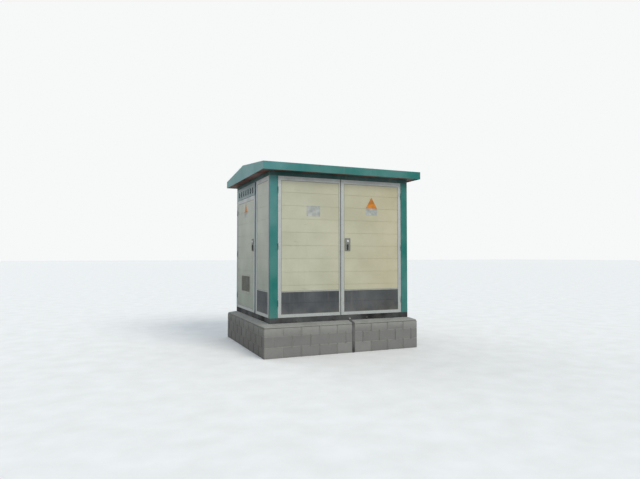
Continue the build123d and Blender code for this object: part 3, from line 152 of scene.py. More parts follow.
lamps = {
    "sun": {"from": (2.2, -5.6, 5.2), "strength": 1.72, "spread": 28, "tint": (1.0, 0.97, 0.91)},
    "back": {"from": (-3.0, 6.5, 5.0), "strength": 0.55, "spread": 50, "tint": (0.96, 0.98, 1.0)},
}
for name, lamp in lamps.items():
    deselectAll()
    place = Vector(lamp["from"])
    aim = (-place).to_track_quat("-Z", "Y").to_euler()
    bpy.ops.object.light_add(type="SUN", location=place, rotation=aim)
    light = bpy.context.object
    light.name = name + "Lamp"
    light.data.energy = lamp["strength"]
    light.data.angle = math.radians(lamp["spread"])
    light.data.color = lamp["tint"]

sky = {"light": (0.82, 0.94, 1.08, 1.0), "lightStrength": 0.66, "seen": (0.93, 0.94, 0.94, 1.0)}
world = bpy.data.worlds.new("openSky")
bpy.context.scene.world = world
world.use_nodes = True
tree = world.node_tree
tree.nodes.clear()
output = tree.nodes.new("ShaderNodeOutputWorld")
lightPath = tree.nodes.new("ShaderNodeLightPath")
ambient = tree.nodes.new("ShaderNodeBackground")
ambient.inputs["Color"].default_value = sky["light"]
ambient.inputs["Strength"].default_value = sky["lightStrength"]
backdrop = tree.nodes.new("ShaderNodeBackground")
backdrop.inputs["Color"].default_value = sky["seen"]
backdrop.inputs["Strength"].default_value = 1.0
seenOrGlossy = tree.nodes.new("ShaderNodeMath")
seenOrGlossy.operation = "MAXIMUM"
anySeen = tree.nodes.new("ShaderNodeMath")
anySeen.operation = "MAXIMUM"
blendSky = tree.nodes.new("ShaderNodeMixShader")
tree.links.new(lightPath.outputs["Is Camera Ray"], seenOrGlossy.inputs[0])
tree.links.new(lightPath.outputs["Is Glossy Ray"], seenOrGlossy.inputs[1])
tree.links.new(seenOrGlossy.outputs[0], anySeen.inputs[0])
tree.links.new(lightPath.outputs["Is Transmission Ray"], anySeen.inputs[1])
tree.links.new(anySeen.outputs[0], blendSky.inputs[0])
tree.links.new(ambient.outputs[0], blendSky.inputs[1])
tree.links.new(backdrop.outputs[0], blendSky.inputs[2])
tree.links.new(blendSky.outputs[0], output.inputs["Surface"])
print("camera and light set")


# ---- effects shared by several finishes

def startGroup(name, inputs, outputs):
    group = bpy.data.node_groups.new(name, "ShaderNodeTree")
    for label, kind, value in inputs:
        socket = group.interface.new_socket(label, in_out="INPUT", socket_type=kind)
        socket.default_value = value
    for label, kind in outputs:
        group.interface.new_socket(label, in_out="OUTPUT", socket_type=kind)
    return group, group.nodes.new("NodeGroupInput"), group.nodes.new("NodeGroupOutput")


def mixColour(tree, share, first, second, mode="MIX"):
    node = tree.nodes.new("ShaderNodeMix")
    node.data_type = "RGBA"
    node.blend_type = mode
    for socket, value in (("Factor_Float", share), ("A_Color", first), ("B_Color", second)):
        target = next(s for s in node.inputs if s.identifier == socket)
        if isinstance(value, bpy.types.NodeSocket):
            tree.links.new(value, target)
        else:
            target.default_value = value
    return next(s for s in node.outputs if s.identifier == "Result_Color")


def calculate(tree, operation, first, second=0.0, clamp=False):
    node = tree.nodes.new("ShaderNodeMath")
    node.operation = operation
    node.use_clamp = clamp
    for socket, value in ((node.inputs[0], first), (node.inputs[1], second)):
        if isinstance(value, bpy.types.NodeSocket):
            tree.links.new(value, socket)
        else:
            socket.default_value = value
    return node.outputs[0]


def spread(tree, value, low, high, lowTo=0.0, highTo=1.0):
    node = tree.nodes.new("ShaderNodeMapRange")
    tree.links.new(value, node.inputs["Value"])
    node.inputs["From Min"].default_value = low
    node.inputs["From Max"].default_value = high
    node.inputs["To Min"].default_value = lowTo
    node.inputs["To Max"].default_value = highTo
    return node.outputs["Result"]


def noiseAt(tree, scale, detail=3.0, stretch=(1, 1, 1), roughness=0.5):
    place = tree.nodes.new("ShaderNodeTexCoord")
    mapping = tree.nodes.new("ShaderNodeMapping")
    mapping.inputs["Scale"].default_value = stretch
    noise = tree.nodes.new("ShaderNodeTexNoise")
    noise.inputs["Scale"].default_value = scale
    noise.inputs["Detail"].default_value = detail
    noise.inputs["Roughness"].default_value = roughness
    tree.links.new(place.outputs["Object"], mapping.inputs["Vector"])
    tree.links.new(mapping.outputs["Vector"], noise.inputs["Vector"])
    return noise.outputs["Fac"]


# weather: slow mottling, rain streaks and dust that settles towards the foot of the case
weather, weatherIn, weatherOut = startGroup(
    "weather",
    [
        ("Paint", "NodeSocketColor", (0.5, 0.5, 0.5, 1)),
        ("Dust", "NodeSocketColor", paint(168, 158, 138)),
        ("Mottle", "NodeSocketFloat", 0.12),
        ("Streaks", "NodeSocketFloat", 0.25),
        ("Foot Dust", "NodeSocketFloat", 0.5),
    ],
    [("Color", "NodeSocketColor"), ("Dirt", "NodeSocketFloat")],
)
cloudy = noiseAt(weather, 2.3, 4)
darker = mixColour(weather, 0.22, weatherIn.outputs["Paint"], (0.0, 0.0, 0.0, 1))
lighter = mixColour(weather, 0.14, weatherIn.outputs["Paint"], (1.0, 1.0, 1.0, 1))
mottled = mixColour(weather, spread(weather, cloudy, 0.32, 0.68), darker, lighter)
mottleOn = calculate(weather, "MULTIPLY", weatherIn.outputs["Mottle"], 4.0, True)
based = mixColour(weather, mottleOn, weatherIn.outputs["Paint"], mottled)
streak = spread(weather, noiseAt(weather, 22.0, 3, (1, 1, 0.045)), 0.52, 0.74)
streak = calculate(weather, "MULTIPLY", streak, spread(weather, noiseAt(weather, 1.6, 2), 0.4, 0.62))
streak = calculate(weather, "MULTIPLY", streak, weatherIn.outputs["Streaks"], True)
placeNode = weather.nodes.new("ShaderNodeTexCoord")
splitNode = weather.nodes.new("ShaderNodeSeparateXYZ")
weather.links.new(placeNode.outputs["Object"], splitNode.inputs[0])
low = spread(weather, splitNode.outputs["Z"], 0.95, 0.56)
patchy = spread(weather, noiseAt(weather, 7.0, 5), 0.35, 0.75)
low = calculate(weather, "MULTIPLY", calculate(weather, "MULTIPLY", low, low), patchy)
low = calculate(weather, "MULTIPLY", low, weatherIn.outputs["Foot Dust"], True)
dirt = calculate(weather, "MAXIMUM", low, streak)
weather.links.new(mixColour(weather, dirt, based, weatherIn.outputs["Dust"]), weatherOut.inputs["Color"])
weather.links.new(dirt, weatherOut.inputs["Dirt"])

# worn edge: where the surface turns sharply, broken up by noise
wornEdge, wornIn, wornOut = startGroup(
    "wornEdge",
    [
        ("Paint", "NodeSocketColor", (0.5, 0.5, 0.5, 1)),
        ("Under", "NodeSocketColor", (0.6, 0.6, 0.58, 1)),
        ("Amount", "NodeSocketFloat", 0.5),
    ],
    [("Color", "NodeSocketColor"), ("Wear", "NodeSocketFloat")],
)
rounded = wornEdge.nodes.new("ShaderNodeBevel")
rounded.samples = 4
rounded.inputs["Radius"].default_value = 0.006
flat = wornEdge.nodes.new("ShaderNodeNewGeometry")
compare = wornEdge.nodes.new("ShaderNodeVectorMath")
compare.operation = "DOT_PRODUCT"
wornEdge.links.new(rounded.outputs["Normal"], compare.inputs[0])
wornEdge.links.new(flat.outputs["Normal"], compare.inputs[1])
turning = spread(wornEdge, compare.outputs["Value"], 0.995, 0.90)
chips = spread(wornEdge, noiseAt(wornEdge, 38.0, 5), 0.48, 0.60)
wear = calculate(wornEdge, "MULTIPLY", turning, chips)
wear = calculate(wornEdge, "MULTIPLY", wear, wornIn.outputs["Amount"], True)
bared = mixColour(wornEdge, wear, wornIn.outputs["Paint"], wornIn.outputs["Under"])
wornEdge.links.new(bared, wornOut.inputs["Color"])
wornEdge.links.new(wear, wornOut.inputs["Wear"])

# grain: fine pebbling of sprayed or embossed coatings, as a height
grain, grainIn, grainOut = startGroup(
    "grain",
    [("Fine", "NodeSocketFloat", 0.5), ("Waves", "NodeSocketFloat", 0.5)],
    [("Height", "NodeSocketFloat")],
)
pebble = calculate(grain, "MULTIPLY", noiseAt(grain, 420.0, 2), grainIn.outputs["Fine"])
waves = calculate(grain, "MULTIPLY", noiseAt(grain, 9.0, 2, (1, 1, 1.4)), grainIn.outputs["Waves"])
grain.links.new(calculate(grain, "ADD", pebble, waves), grainOut.inputs["Height"])
print("effects built")


# ---- finishes

def startFinish(name):
    finish = bpy.data.materials.new(name)
    finish.use_nodes = True
    return finish, finish.node_tree, finish.node_tree.nodes["Principled BSDF"]


def useGroup(tree, group, **values):
    node = tree.nodes.new("ShaderNodeGroup")
    node.node_tree = group
    for key, value in values.items():
        socket = node.inputs[key.replace("_", " ")]
        if isinstance(value, bpy.types.NodeSocket):
            tree.links.new(value, socket)
        else:
            socket.default_value = value
    return node


def raiseBump(tree, shader, height, strength, distance):
    bump = tree.nodes.new("ShaderNodeBump")
    bump.inputs["Strength"].default_value = strength
    bump.inputs["Distance"].default_value = distance
    tree.links.new(height, bump.inputs["Height"])
    tree.links.new(bump.outputs["Normal"], shader.inputs["Normal"])


def chalkedAndShaded(tree, colour, chalk):
    # sun bleaches the upper part of the case, in soft upright bands; less of it towards the right end paints
    # a tree's shade there
    place = tree.nodes.new("ShaderNodeTexCoord")
    split = tree.nodes.new("ShaderNodeSeparateXYZ")
    tree.links.new(place.outputs["Object"], split.inputs[0])
    bands = calculate(tree, "MULTIPLY", noiseAt(tree, 5.0, 3, (1, 1, 0.15)), 0.7)
    height = calculate(tree, "ADD", split.outputs["Z"], bands)
    # painted shade: the chalk share falls from the left end to the right, darkening the right side
    chalkLeftShadeRight = spread(tree, split.outputs["X"], -1.35, -0.3, 1.0, 0.12)
    share = calculate(tree, "MULTIPLY", spread(tree, height, 1.6, 3.2), chalkLeftShadeRight)
    return mixColour(tree, share, colour, chalk)


def paintFinish(name, colour, rough=0.38, mottle=0.1, streaks=0.2, footDust=0.4, wearAmount=0.5,
                under=(150, 152, 148), bump=0.15, dust=(168, 158, 138), shine=0.32, chalk=None):
    finish, tree, shader = startFinish(name)
    coloured = paint(*colour)
    if chalk:
        coloured = chalkedAndShaded(tree, coloured, paint(*chalk))
    worn = useGroup(tree, wornEdge, Paint=coloured, Under=paint(*under), Amount=wearAmount)
    aged = useGroup(tree, weather, Paint=worn.outputs["Color"], Dust=paint(*dust), Mottle=mottle,
                    Streaks=streaks, Foot_Dust=footDust)
    tree.links.new(aged.outputs["Color"], shader.inputs["Base Color"])
    duller = spread(tree, aged.outputs["Dirt"], 0.0, 1.0, rough, 0.85)
    tree.links.new(duller, shader.inputs["Roughness"])
    shader.inputs["Specular IOR Level"].default_value = shine
    texture = useGroup(tree, grain, Fine=0.5, Waves=0.5)
    raiseBump(tree, shader, texture.outputs["Height"], bump, 0.002)
    return finish


planks = {"foot": 1.073, "pitch": 0.206}


def boardFinish(name, colour, stain, warm, rough=0.5):
    # embossed coated sheet: fine pebbling, a different tone in each plank, short level rub marks
    finish, tree, shader = startFinish(name)
    place = tree.nodes.new("ShaderNodeTexCoord")
    split = tree.nodes.new("ShaderNodeSeparateXYZ")
    tree.links.new(place.outputs["Object"], split.inputs[0])
    above = calculate(tree, "SUBTRACT", split.outputs["Z"], planks["foot"])
    plank = calculate(tree, "FLOOR", calculate(tree, "DIVIDE", above, planks["pitch"]))
    whiteNoise = tree.nodes.new("ShaderNodeTexWhiteNoise")
    whiteNoise.noise_dimensions = "1D"
    tree.links.new(plank, whiteNoise.inputs["W"])
    base = mixColour(tree, whiteNoise.outputs["Value"], paint(*[min(255, c * 1.006) for c in colour]),
                     paint(*[c * 0.985 for c in colour]))
    rub = spread(tree, noiseAt(tree, 26.0, 2, (0.16, 0.16, 1.6)), 0.66, 0.72)
    rub = calculate(tree, "MULTIPLY", rub, spread(tree, noiseAt(tree, 2.1, 2), 0.52, 0.62))
    rub = calculate(tree, "MULTIPLY", rub, 0.30)
    rubbed = mixColour(tree, rub, base, paint(*stain))
    drift = calculate(tree, "MULTIPLY", noiseAt(tree, 0.9, 2), 0.8)
    across = calculate(tree, "ADD", split.outputs["X"], drift)
    warmer = calculate(tree, "MULTIPLY", spread(tree, across, -0.3, 1.3), 0.8)
    rubbed = mixColour(tree, warmer, rubbed, paint(*warm))
    # painted light and shade on the left end: lighter and bluer towards its top as sky light, greyer and
    # darker towards its foot as the painted shade of plants
    tall = split.outputs["Z"]
    leftEndPaintedLight = mixColour(tree, spread(tree, tall, 1.7, 2.7), (0.86, 0.90, 0.98, 1), (1.06, 1.10, 1.22, 1))
    leftEndPaintedLight = mixColour(tree, spread(tree, tall, 1.6, 0.75), leftEndPaintedLight, (0.64, 0.71, 0.80, 1))
    leftSide = spread(tree, calculate(tree, "MULTIPLY", split.outputs["X"], -1.0), 1.19, 1.21)
    rubbed = mixColour(tree, leftSide, rubbed, mixColour(tree, 1.0, rubbed, leftEndPaintedLight, "MULTIPLY"))
    aged = useGroup(tree, weather, Paint=rubbed, Dust=paint(172, 162, 138), Mottle=0.10, Streaks=0.12,
                    Foot_Dust=0.25)
    tree.links.new(aged.outputs["Color"], shader.inputs["Base Color"])
    tree.links.new(spread(tree, aged.outputs["Dirt"], 0.0, 1.0, rough, 0.85), shader.inputs["Roughness"])
    shader.inputs["Specular IOR Level"].default_value = 0.32
    texture = useGroup(tree, grain, Fine=0.8, Waves=0.35)
    raiseBump(tree, shader, texture.outputs["Height"], 0.25, 0.0015)
    return finish


# the knuckles of the hinges stand further out than these faces
knuckles = {"x": 1.2233, "y": 1.0433}


def metalFinish(name, colour, rough=0.34, brushed=(1, 1, 0.04), dull=0.3, bump=0.08, metallic=1.0,
                proud=None):
    # rolled or brushed metal with grease marks and dull patches
    finish, tree, shader = startFinish(name)
    lines = noiseAt(tree, 240.0, 3, brushed)
    patches = noiseAt(tree, 6.0, 4)
    tone = mixColour(tree, spread(tree, lines, 0.3, 0.7), paint(*[c * 0.93 for c in colour]), paint(*colour))
    stained = mixColour(tree, calculate(tree, "MULTIPLY", spread(tree, patches, 0.45, 0.75), dull), tone,
                        paint(*[c * 0.72 for c in colour]))
    if proud:
        # the knuckles are painted with the case
        place = tree.nodes.new("ShaderNodeTexCoord")
        split = tree.nodes.new("ShaderNodeSeparateXYZ")
        tree.links.new(place.outputs["Object"], split.inputs[0])
        sideways = calculate(tree, "ABSOLUTE", split.outputs["X"])
        endways = calculate(tree, "ABSOLUTE", split.outputs["Y"])
        beyondX = calculate(tree, "GREATER_THAN", sideways, knuckles["x"])
        beyondY = calculate(tree, "GREATER_THAN", endways, knuckles["y"])
        stained = mixColour(tree, calculate(tree, "MAXIMUM", beyondX, beyondY), stained, paint(*proud))
    tree.links.new(stained, shader.inputs["Base Color"])
    tree.links.new(spread(tree, patches, 0.3, 0.7, rough, rough + 0.2), shader.inputs["Roughness"])
    shader.inputs["Metallic"].default_value = metallic
    raiseBump(tree, shader, lines, bump, 0.001)
    return finish


def masonryFinish(name, colour, smear=(150, 149, 142), smearFrom=0.36, smearTo=0.46, rough=0.93,
                  pits=1.0, tones=0.0):
    # cast concrete: sand grain, pits, damp patches at the foot and mortar smeared near the top
    finish, tree, shader = startFinish(name)
    place = tree.nodes.new("ShaderNodeTexCoord")
    split = tree.nodes.new("ShaderNodeSeparateXYZ")
    tree.links.new(place.outputs["Object"], split.inputs[0])
    sand = noiseAt(tree, 190.0, 5, roughness=0.7)
    patches = noiseAt(tree, 5.0, 5)
    tone = mixColour(tree, spread(tree, sand, 0.3, 0.7), paint(*[c * 0.86 for c in colour]),
                     paint(*[min(255, c * 1.1) for c in colour]))
    tone = mixColour(tree, calculate(tree, "MULTIPLY", spread(tree, patches, 0.45, 0.7), 0.45), tone,
                     paint(*[c * 0.82 for c in colour]))
    if tones:
        # each block has its own tone, kept on its faces
        blockTone = tree.nodes.new("ShaderNodeAttribute")
        blockTone.attribute_name = "tone"
        shade = mixColour(tree, blockTone.outputs["Fac"], paint(*[c * (1 - tones) for c in colour]),
                          paint(*[c * (1 + tones / 3) for c in colour]))
        tone = mixColour(tree, 0.5, tone, shade)
        tone = mixColour(tree, spread(tree, blockTone.outputs["Fac"], 1.2, 1.8), tone, paint(*smear))
    uneven = calculate(tree, "MULTIPLY", noiseAt(tree, 11.0, 4), 0.11)
    height = calculate(tree, "ADD", split.outputs["Z"], uneven)
    smeared = calculate(tree, "MULTIPLY", spread(tree, height, smearFrom + 0.05, smearTo + 0.05), 0.75)
    tone = mixColour(tree, smeared, tone, paint(*smear))
    damp = calculate(tree, "MULTIPLY", spread(tree, height, 0.14, 0.03), 0.2)
    tone = mixColour(tree, damp, tone, paint(*[c * 0.66 for c in colour]))
    # painted shade of plants on the left end, darkest towards its foot
    beside = spread(tree, calculate(tree, "MULTIPLY", split.outputs["X"], -1.0), 1.335, 1.350)
    leftEndPaintedShade = calculate(tree, "MULTIPLY", beside, spread(tree, height, 0.75, 0.1, 0.25, 0.6))
    tone = mixColour(tree, leftEndPaintedShade, tone, paint(88, 84, 76))
    tree.links.new(tone, shader.inputs["Base Color"])
    shader.inputs["Roughness"].default_value = rough
    voronoi = tree.nodes.new("ShaderNodeTexVoronoi")
    voronoi.inputs["Scale"].default_value = 85.0
    tree.links.new(place.outputs["Object"], voronoi.inputs["Vector"])
    pit = spread(tree, voronoi.outputs["Distance"], 0.0, 0.32)
    relief = calculate(tree, "ADD", calculate(tree, "MULTIPLY", pit, 0.35 * pits), sand)
    raiseBump(tree, shader, relief, 0.55, 0.004)
    return finish


def plasticFinish(name, colour, rough=0.45, bump=0.1, coat=0.0):
    finish, tree, shader = startFinish(name)
    cloudy = noiseAt(tree, 14.0, 3)
    tone = mixColour(tree, spread(tree, cloudy, 0.35, 0.65), paint(*[c * 0.88 for c in colour]),
                     paint(*[min(255, c * 1.08) for c in colour]))
    tree.links.new(tone, shader.inputs["Base Color"])
    tree.links.new(spread(tree, cloudy, 0.3, 0.7, rough, rough + 0.12), shader.inputs["Roughness"])
    shader.inputs["Coat Weight"].default_value = coat
    texture = useGroup(tree, grain, Fine=0.6, Waves=0.1)
    raiseBump(tree, shader, texture.outputs["Height"], bump, 0.001)
    return finish


finishes = {
    "plinth_block": masonryFinish("plinthBlock", (137, 136, 132), smear=(158, 157, 151), tones=0.16),
    "mortar": masonryFinish("mortar", (146, 145, 138), smearFrom=2.0, smearTo=2.1, pits=0.6),
    "base_paint": paintFinish("basePaint", (18, 17, 16), rough=0.75, shine=0.12, streaks=0.1, footDust=0.0,
                              wearAmount=0.7, under=(92, 60, 42), mottle=0.2, dust=(110, 98, 80),
                              bump=0.3),
    "zinc": metalFinish("zinc", (176, 178, 178), rough=0.42, brushed=(1, 1, 1), dull=0.6),
    "dull_zinc": metalFinish("dullZinc", (104, 104, 100), rough=0.6, brushed=(1, 1, 1), dull=0.8,
                             metallic=0.6),
    "earth_steel": paintFinish("earthSteel", (34, 33, 31), rough=0.65, wearAmount=0.7, under=(110, 70, 46),
                               mottle=0.2, footDust=0.0, streaks=0.1, bump=0.3),
    "teal_paint": paintFinish("tealPaint", (6, 112, 104), rough=0.45, footDust=0.12, streaks=0.12,
                              chalk=(62, 134, 134)),
    "dark_teal_paint": paintFinish("darkTealPaint", (30, 82, 80), rough=0.5, footDust=0.1, streaks=0.15),
    "grey_teal_paint": paintFinish("greyTealPaint", (108, 132, 134), rough=0.4, footDust=0.3,
                                   streaks=0.25),
    "silver_aluminium": metalFinish("silverAluminium", (186, 190, 188), rough=0.42, brushed=(1, 1, 0.05),
                                    dull=0.2, metallic=0.35, proud=(52, 116, 110)),
    "window_metal": metalFinish("windowMetal", (172, 172, 162), rough=0.45, brushed=(1, 1, 0.05), dull=0.4,
                                metallic=0.2),
    "cream_board": boardFinish("creamBoard", (193, 192, 168), (118, 112, 94), (192, 183, 150)),
    "grey_board": boardFinish("greyBoard", (66, 70, 75), (52, 54, 58), (62, 64, 65)),
    "inner_paint": paintFinish("innerPaint", (196, 198, 192), rough=0.5, footDust=0.15, streaks=0.0,
                               wearAmount=0.3, bump=0.1),
    "floor_plate": metalFinish("floorPlate", (112, 113, 112), rough=0.5, brushed=(1, 1, 1), dull=0.6,
                               metallic=0.7),
    "primer_red": paintFinish("primerRed", (112, 62, 52), rough=0.62, footDust=0.0, streaks=0.1,
                              wearAmount=0.2, mottle=0.25, bump=0.2),
    "tank_paint": paintFinish("tankPaint", (128, 134, 134), rough=0.35, footDust=0.5, streaks=0.2,
                              wearAmount=0.4),
    "porcelain": plasticFinish("porcelain", (104, 58, 38), rough=0.12, bump=0.02, coat=0.8),
    "black_plastic": plasticFinish("blackPlastic", (38, 38, 38), rough=0.42),
    "breaker_plastic": plasticFinish("breakerPlastic", (66, 68, 70), rough=0.5),
    "copper": metalFinish("copper", (186, 124, 94), rough=0.36, brushed=(0.05, 1, 1), dull=0.45),
    "cabinet_paint": paintFinish("cabinetPaint", (176, 180, 176), rough=0.42, footDust=0.2, streaks=0.0,
                                 wearAmount=0.3),
    "lock_plate_metal": metalFinish("lockPlateMetal", (136, 139, 134), rough=0.4, brushed=(1, 1, 0.06),
                                    dull=0.35, metallic=0.85),
    "lock_chrome": metalFinish("lockChrome", (226, 228, 230), rough=0.16, brushed=(1, 1, 1), dull=0.1,
                               bump=0.01),
    "amber_plate": plasticFinish("amberPlate", (198, 120, 14), rough=0.45),
    "sealant": plasticFinish("sealant", (118, 118, 108), rough=0.6, bump=0.3),
    "white_plate": plasticFinish("whitePlate", (170, 173, 168), rough=0.45),
}
glass, tree, shader = startFinish("windowGlass")
shader.inputs["Base Color"].default_value = (0.46, 0.45, 0.40, 1)
shader.inputs["Transmission Weight"].default_value = 1.0
shader.inputs["IOR"].default_value = 1.45
smudge = noiseAt(tree, 12.0, 4)
tree.links.new(spread(tree, smudge, 0.4, 0.7, 0.03, 0.22), shader.inputs["Roughness"])
finishes["window_glass"] = glass
print("finishes built:", len(finishes))


# ---- floor

deselectAll()
bpy.ops.mesh.primitive_plane_add(size=400, location=(0, 0, 0))
floor = bpy.context.object
floor.name = "floor"
settle(floor)
floorFinish, tree, shader = startFinish("paleFloor")
floorLight = tree.nodes.new("ShaderNodeLightPath")
worn = spread(tree, noiseAt(tree, 3.0, 5), 0.3, 0.7)
seen = mixColour(tree, worn, paint(228, 226, 221), paint(236, 234, 230))
floorColour = mixColour(tree, floorLight.outputs["Is Camera Ray"], paint(176, 172, 162), seen)
tree.links.new(floorColour, shader.inputs["Base Color"])
shader.inputs["Roughness"].default_value = 0.9
floor.data.materials.append(floorFinish)


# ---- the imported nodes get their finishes, and a small radius on their folded edges

slotOf = {part["node"]: part["material_slot"] for part in frame["record"]["subparts"]}
edgeRadius = {
    "base_frame": 0.003, "corner_posts": 0.004, "top_ring": 0.003, "end_mullions": 0.003,
    "transom_vents": 0.002, "fixed_frames": 0.0015, "roof_shell": 0.004, "front_left_frame": 0.0015,
    "front_right_frame": 0.0015, "left_door_frame": 0.0015, "right_door_frame": 0.0015,
    "front_lock_plate": 0.0015, "left_lock_plate": 0.0015, "right_lock_plate": 0.0015,
    "front_lock_lever": 0.0018, "left_lock_lever": 0.0018, "right_lock_lever": 0.0018,
    "transformer_cover": 0.002, "lv_panel": 0.002, "lv_breakers": 0.003, "hv_cabinet": 0.003,
    "hv_load_switch_knob": 0.002, "hv_earth_switch_knob": 0.002, "lv_main_toggle": 0.0015,
    "earth_strip": 0.0015, "left_window_frame": 0.0012, "transformer_tank": 0.002, "lv_busbars": 0.0012,
}
for name, node in nodes.items():
    slot = slotOf[name]
    node.data.materials.clear()
    node.data.materials.append(finishes["dull_zinc" if name == "base_bolts" else slot])
    if name in edgeRadius:
        weld = node.modifiers.new("weld", "WELD")
        weld.merge_threshold = 0.00001
        soften = node.modifiers.new("soften", "BEVEL")
        soften.width = edgeRadius[name]
        soften.segments = 2
        soften.limit_method = "ANGLE"
        soften.angle_limit = math.radians(40)
        soften.use_clamp_overlap = True
        soften.harden_normals = False
print("nodes dressed")


# ---- editing by place: what an operator acts on is picked by a test on each face

def editFaces(piece, test):
    pick(piece)
    bpy.ops.object.mode_set(mode="EDIT")
    bpy.ops.mesh.select_mode(type="FACE")
    bpy.ops.mesh.select_all(action="DESELECT")
    bpy.ops.object.mode_set(mode="OBJECT")
    for face in piece.data.polygons:
        face.select = test(face)
    bpy.ops.object.mode_set(mode="EDIT")


def endEdit():
    bpy.ops.object.mode_set(mode="OBJECT")


def cutOut(piece, cutter):
    # takes the cutter's volume out of the piece
    addModifier(piece, "BOOLEAN", object=cutter, operation="DIFFERENCE", solver="EXACT")
    applyAll(piece)
    bpy.data.objects.remove(cutter)


def copyTo(source, name, place, turn=0.0, tilt=0.0):
    # a copy with its own mesh, tilted about Y, turned about the upright and moved
    pick(source)
    bpy.ops.object.duplicate()
    piece = bpy.context.object
    piece.name = name
    piece.location = place
    piece.rotation_euler = (0, tilt, turn)
    settle(piece)
    return piece


def clouds(name, scale, depth=2):
    texture = bpy.data.textures.new(name, "CLOUDS")
    texture.noise_scale = scale
    texture.noise_depth = depth
    return texture


# ---- plinth: concrete blocks that stand out of a mortar core

plinth = {"proud": 0.004, "joint": 0.010, "length": 0.300, "edge": 0.0032, "lift": 0.002,
          "courses": (0.163, 0.326), "uneven": 0.003, "wall": 0.240, "shift": 0.0012, "closer": 0.05,
          "jointTone": 2.0, "innermost": 0.02, "clear": 0.1}
low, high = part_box("plinth_blocks")
across, deep = high.x - low.x, high.y - low.y
step = Vector((plinth["proud"], plinth["proud"], 0))
blocks = startBox("plinthBlocks", low + step + Vector((0, 0, plinth["lift"])), high - step)
rows = (plinth["lift"], *plinth["courses"], high.z)
sides = (
    (Vector((low.x, low.y, 0)), Vector((1, 0, 0)), Vector((0, -1, 0)), across, 0),
    (Vector((high.x, low.y, 0)), Vector((0, 1, 0)), Vector((1, 0, 0)), deep, across),
    (Vector((high.x, high.y, 0)), Vector((-1, 0, 0)), Vector((0, 1, 0)), across, across + deep),
    (Vector((low.x, high.y, 0)), Vector((0, -1, 0)), Vector((-1, 0, 0)), deep, 2 * across + deep),
)
wholeWay = 2 * (across + deep)


def wayRound(point, normal):
    # how far along the plinth's outside a point lies, from its front left corner
    for corner, along, out, length, start in sides:
        if normal.dot(out) > 0.7:
            return start + (point - corner).dot(along)
    return -1.0


for height in plinth["courses"]:
    editFaces(blocks, lambda face: True)
    bpy.ops.mesh.bisect(plane_co=(0, 0, height), plane_no=(0, 0, 1))
    endEdit()

blockSpans = []
for row in range(3):
    joints = []
    for corner, along, out, length, start in sides:
        place = plinth["length"] / (2 if row == 1 else 1)
        while place < length - plinth["closer"]:
            editFaces(blocks, lambda face: face.normal.dot(out) > 0.9
                      and rows[row] < face.center.z < rows[row + 1])
            bpy.ops.mesh.bisect(plane_co=corner + along * place, plane_no=along)
            endEdit()
            joints.append(start + place)
            place += plinth["length"]
    for index, joint in enumerate(joints):
        after = joints[index + 1] if index + 1 < len(joints) else joints[0] + wholeWay
        blockSpans.append((row, joint, after))


def inSpan(face, span):
    row, start, end = span
    if abs(face.normal.z) > 0.7 or not rows[row] < face.center.z < rows[row + 1]:
        return False
    way = wayRound(face.center, face.normal)
    return way >= 0 and (start < way < end or start < way + wholeWay < end)


for span in blockSpans:
    editFaces(blocks, lambda face: inSpan(face, span))
    bpy.ops.mesh.inset(thickness=plinth["joint"] / 2, use_even_offset=True)
    out = plinth["proud"] + random.uniform(-plinth["shift"], 0.0)
    swell = {"value": out, "use_even_offset": True}
    bpy.ops.mesh.extrude_region_shrink_fatten(TRANSFORM_OT_shrink_fatten=swell)
    bpy.ops.mesh.subdivide(number_cuts=3)
    endEdit()
wallStep = Vector((plinth["wall"], plinth["wall"], -plinth["clear"]))
cutOut(blocks, startBox("plinthPit", low + wallStep, high - wallStep))
roundEdges(blocks, plinth["edge"], 2, 40)
tones = blocks.data.attributes.new("tone", "FLOAT", "FACE")
spanTones = [random.random() for span in blockSpans]
inner = plinth["proud"] * 0.8
for face in blocks.data.polygons:
    middle = face.center
    edgeWay = min(middle.x - low.x, high.x - middle.x, middle.y - low.y, high.y - middle.y)
    for span, value in zip(blockSpans, spanTones):
        if inSpan(face, span):
            sunk = inner < edgeWay < plinth["innermost"]
            tones.data[face.index].value = plinth["jointTone"] if sunk else value
addModifier(blocks, "DISPLACE", texture=clouds("blockFaces", 0.14), strength=plinth["uneven"],
            mid_level=0.6, texture_coords="LOCAL")
applyAll(blocks)
bpy.ops.object.shade_flat()
finishPiece(blocks, "case", finishes["plinth_block"])
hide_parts("plinth_blocks")
print("plinth:", len(blockSpans), "blocks,", len(blocks.data.polygons), "faces")


# ---- mortar cap: trowelled by hand, highest against the base frame

cap = {"voxel": 0.014, "uneven": 0.006, "edge": 0.010, "rim": 0.020}
capLow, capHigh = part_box("mortar_cap")
baseLow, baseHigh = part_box("base_frame")
mortarLedge = startBox("mortarLedge", capLow, Vector((capHigh.x, capHigh.y, capLow.z + cap["rim"])))
editFaces(mortarLedge, lambda face: face.normal.z > 0.9)
middle = (capLow + capHigh) / 2
baseMiddle = (baseLow + baseHigh) / 2
rise = capHigh.z - capLow.z - cap["rim"]
lean = (baseMiddle.x - middle.x, baseMiddle.y - middle.y, rise)
bpy.ops.mesh.extrude_region_move(TRANSFORM_OT_translate={"value": lean})
bpy.ops.transform.resize(
    value=((baseHigh.x - baseLow.x) / across, (baseHigh.y - baseLow.y) / deep, 1),
    center_override=(baseMiddle.x, baseMiddle.y, capHigh.z),
)
endEdit()
cutOut(mortarLedge, startBox("capPit", capLow + wallStep, capHigh - wallStep))
roundEdges(mortarLedge, cap["edge"], 2, 40)
addModifier(mortarLedge, "REMESH", mode="VOXEL", voxel_size=cap["voxel"])
addModifier(mortarLedge, "DISPLACE", texture=clouds("trowelMarks", 0.11, 3), strength=cap["uneven"],
            mid_level=0.55, texture_coords="LOCAL")
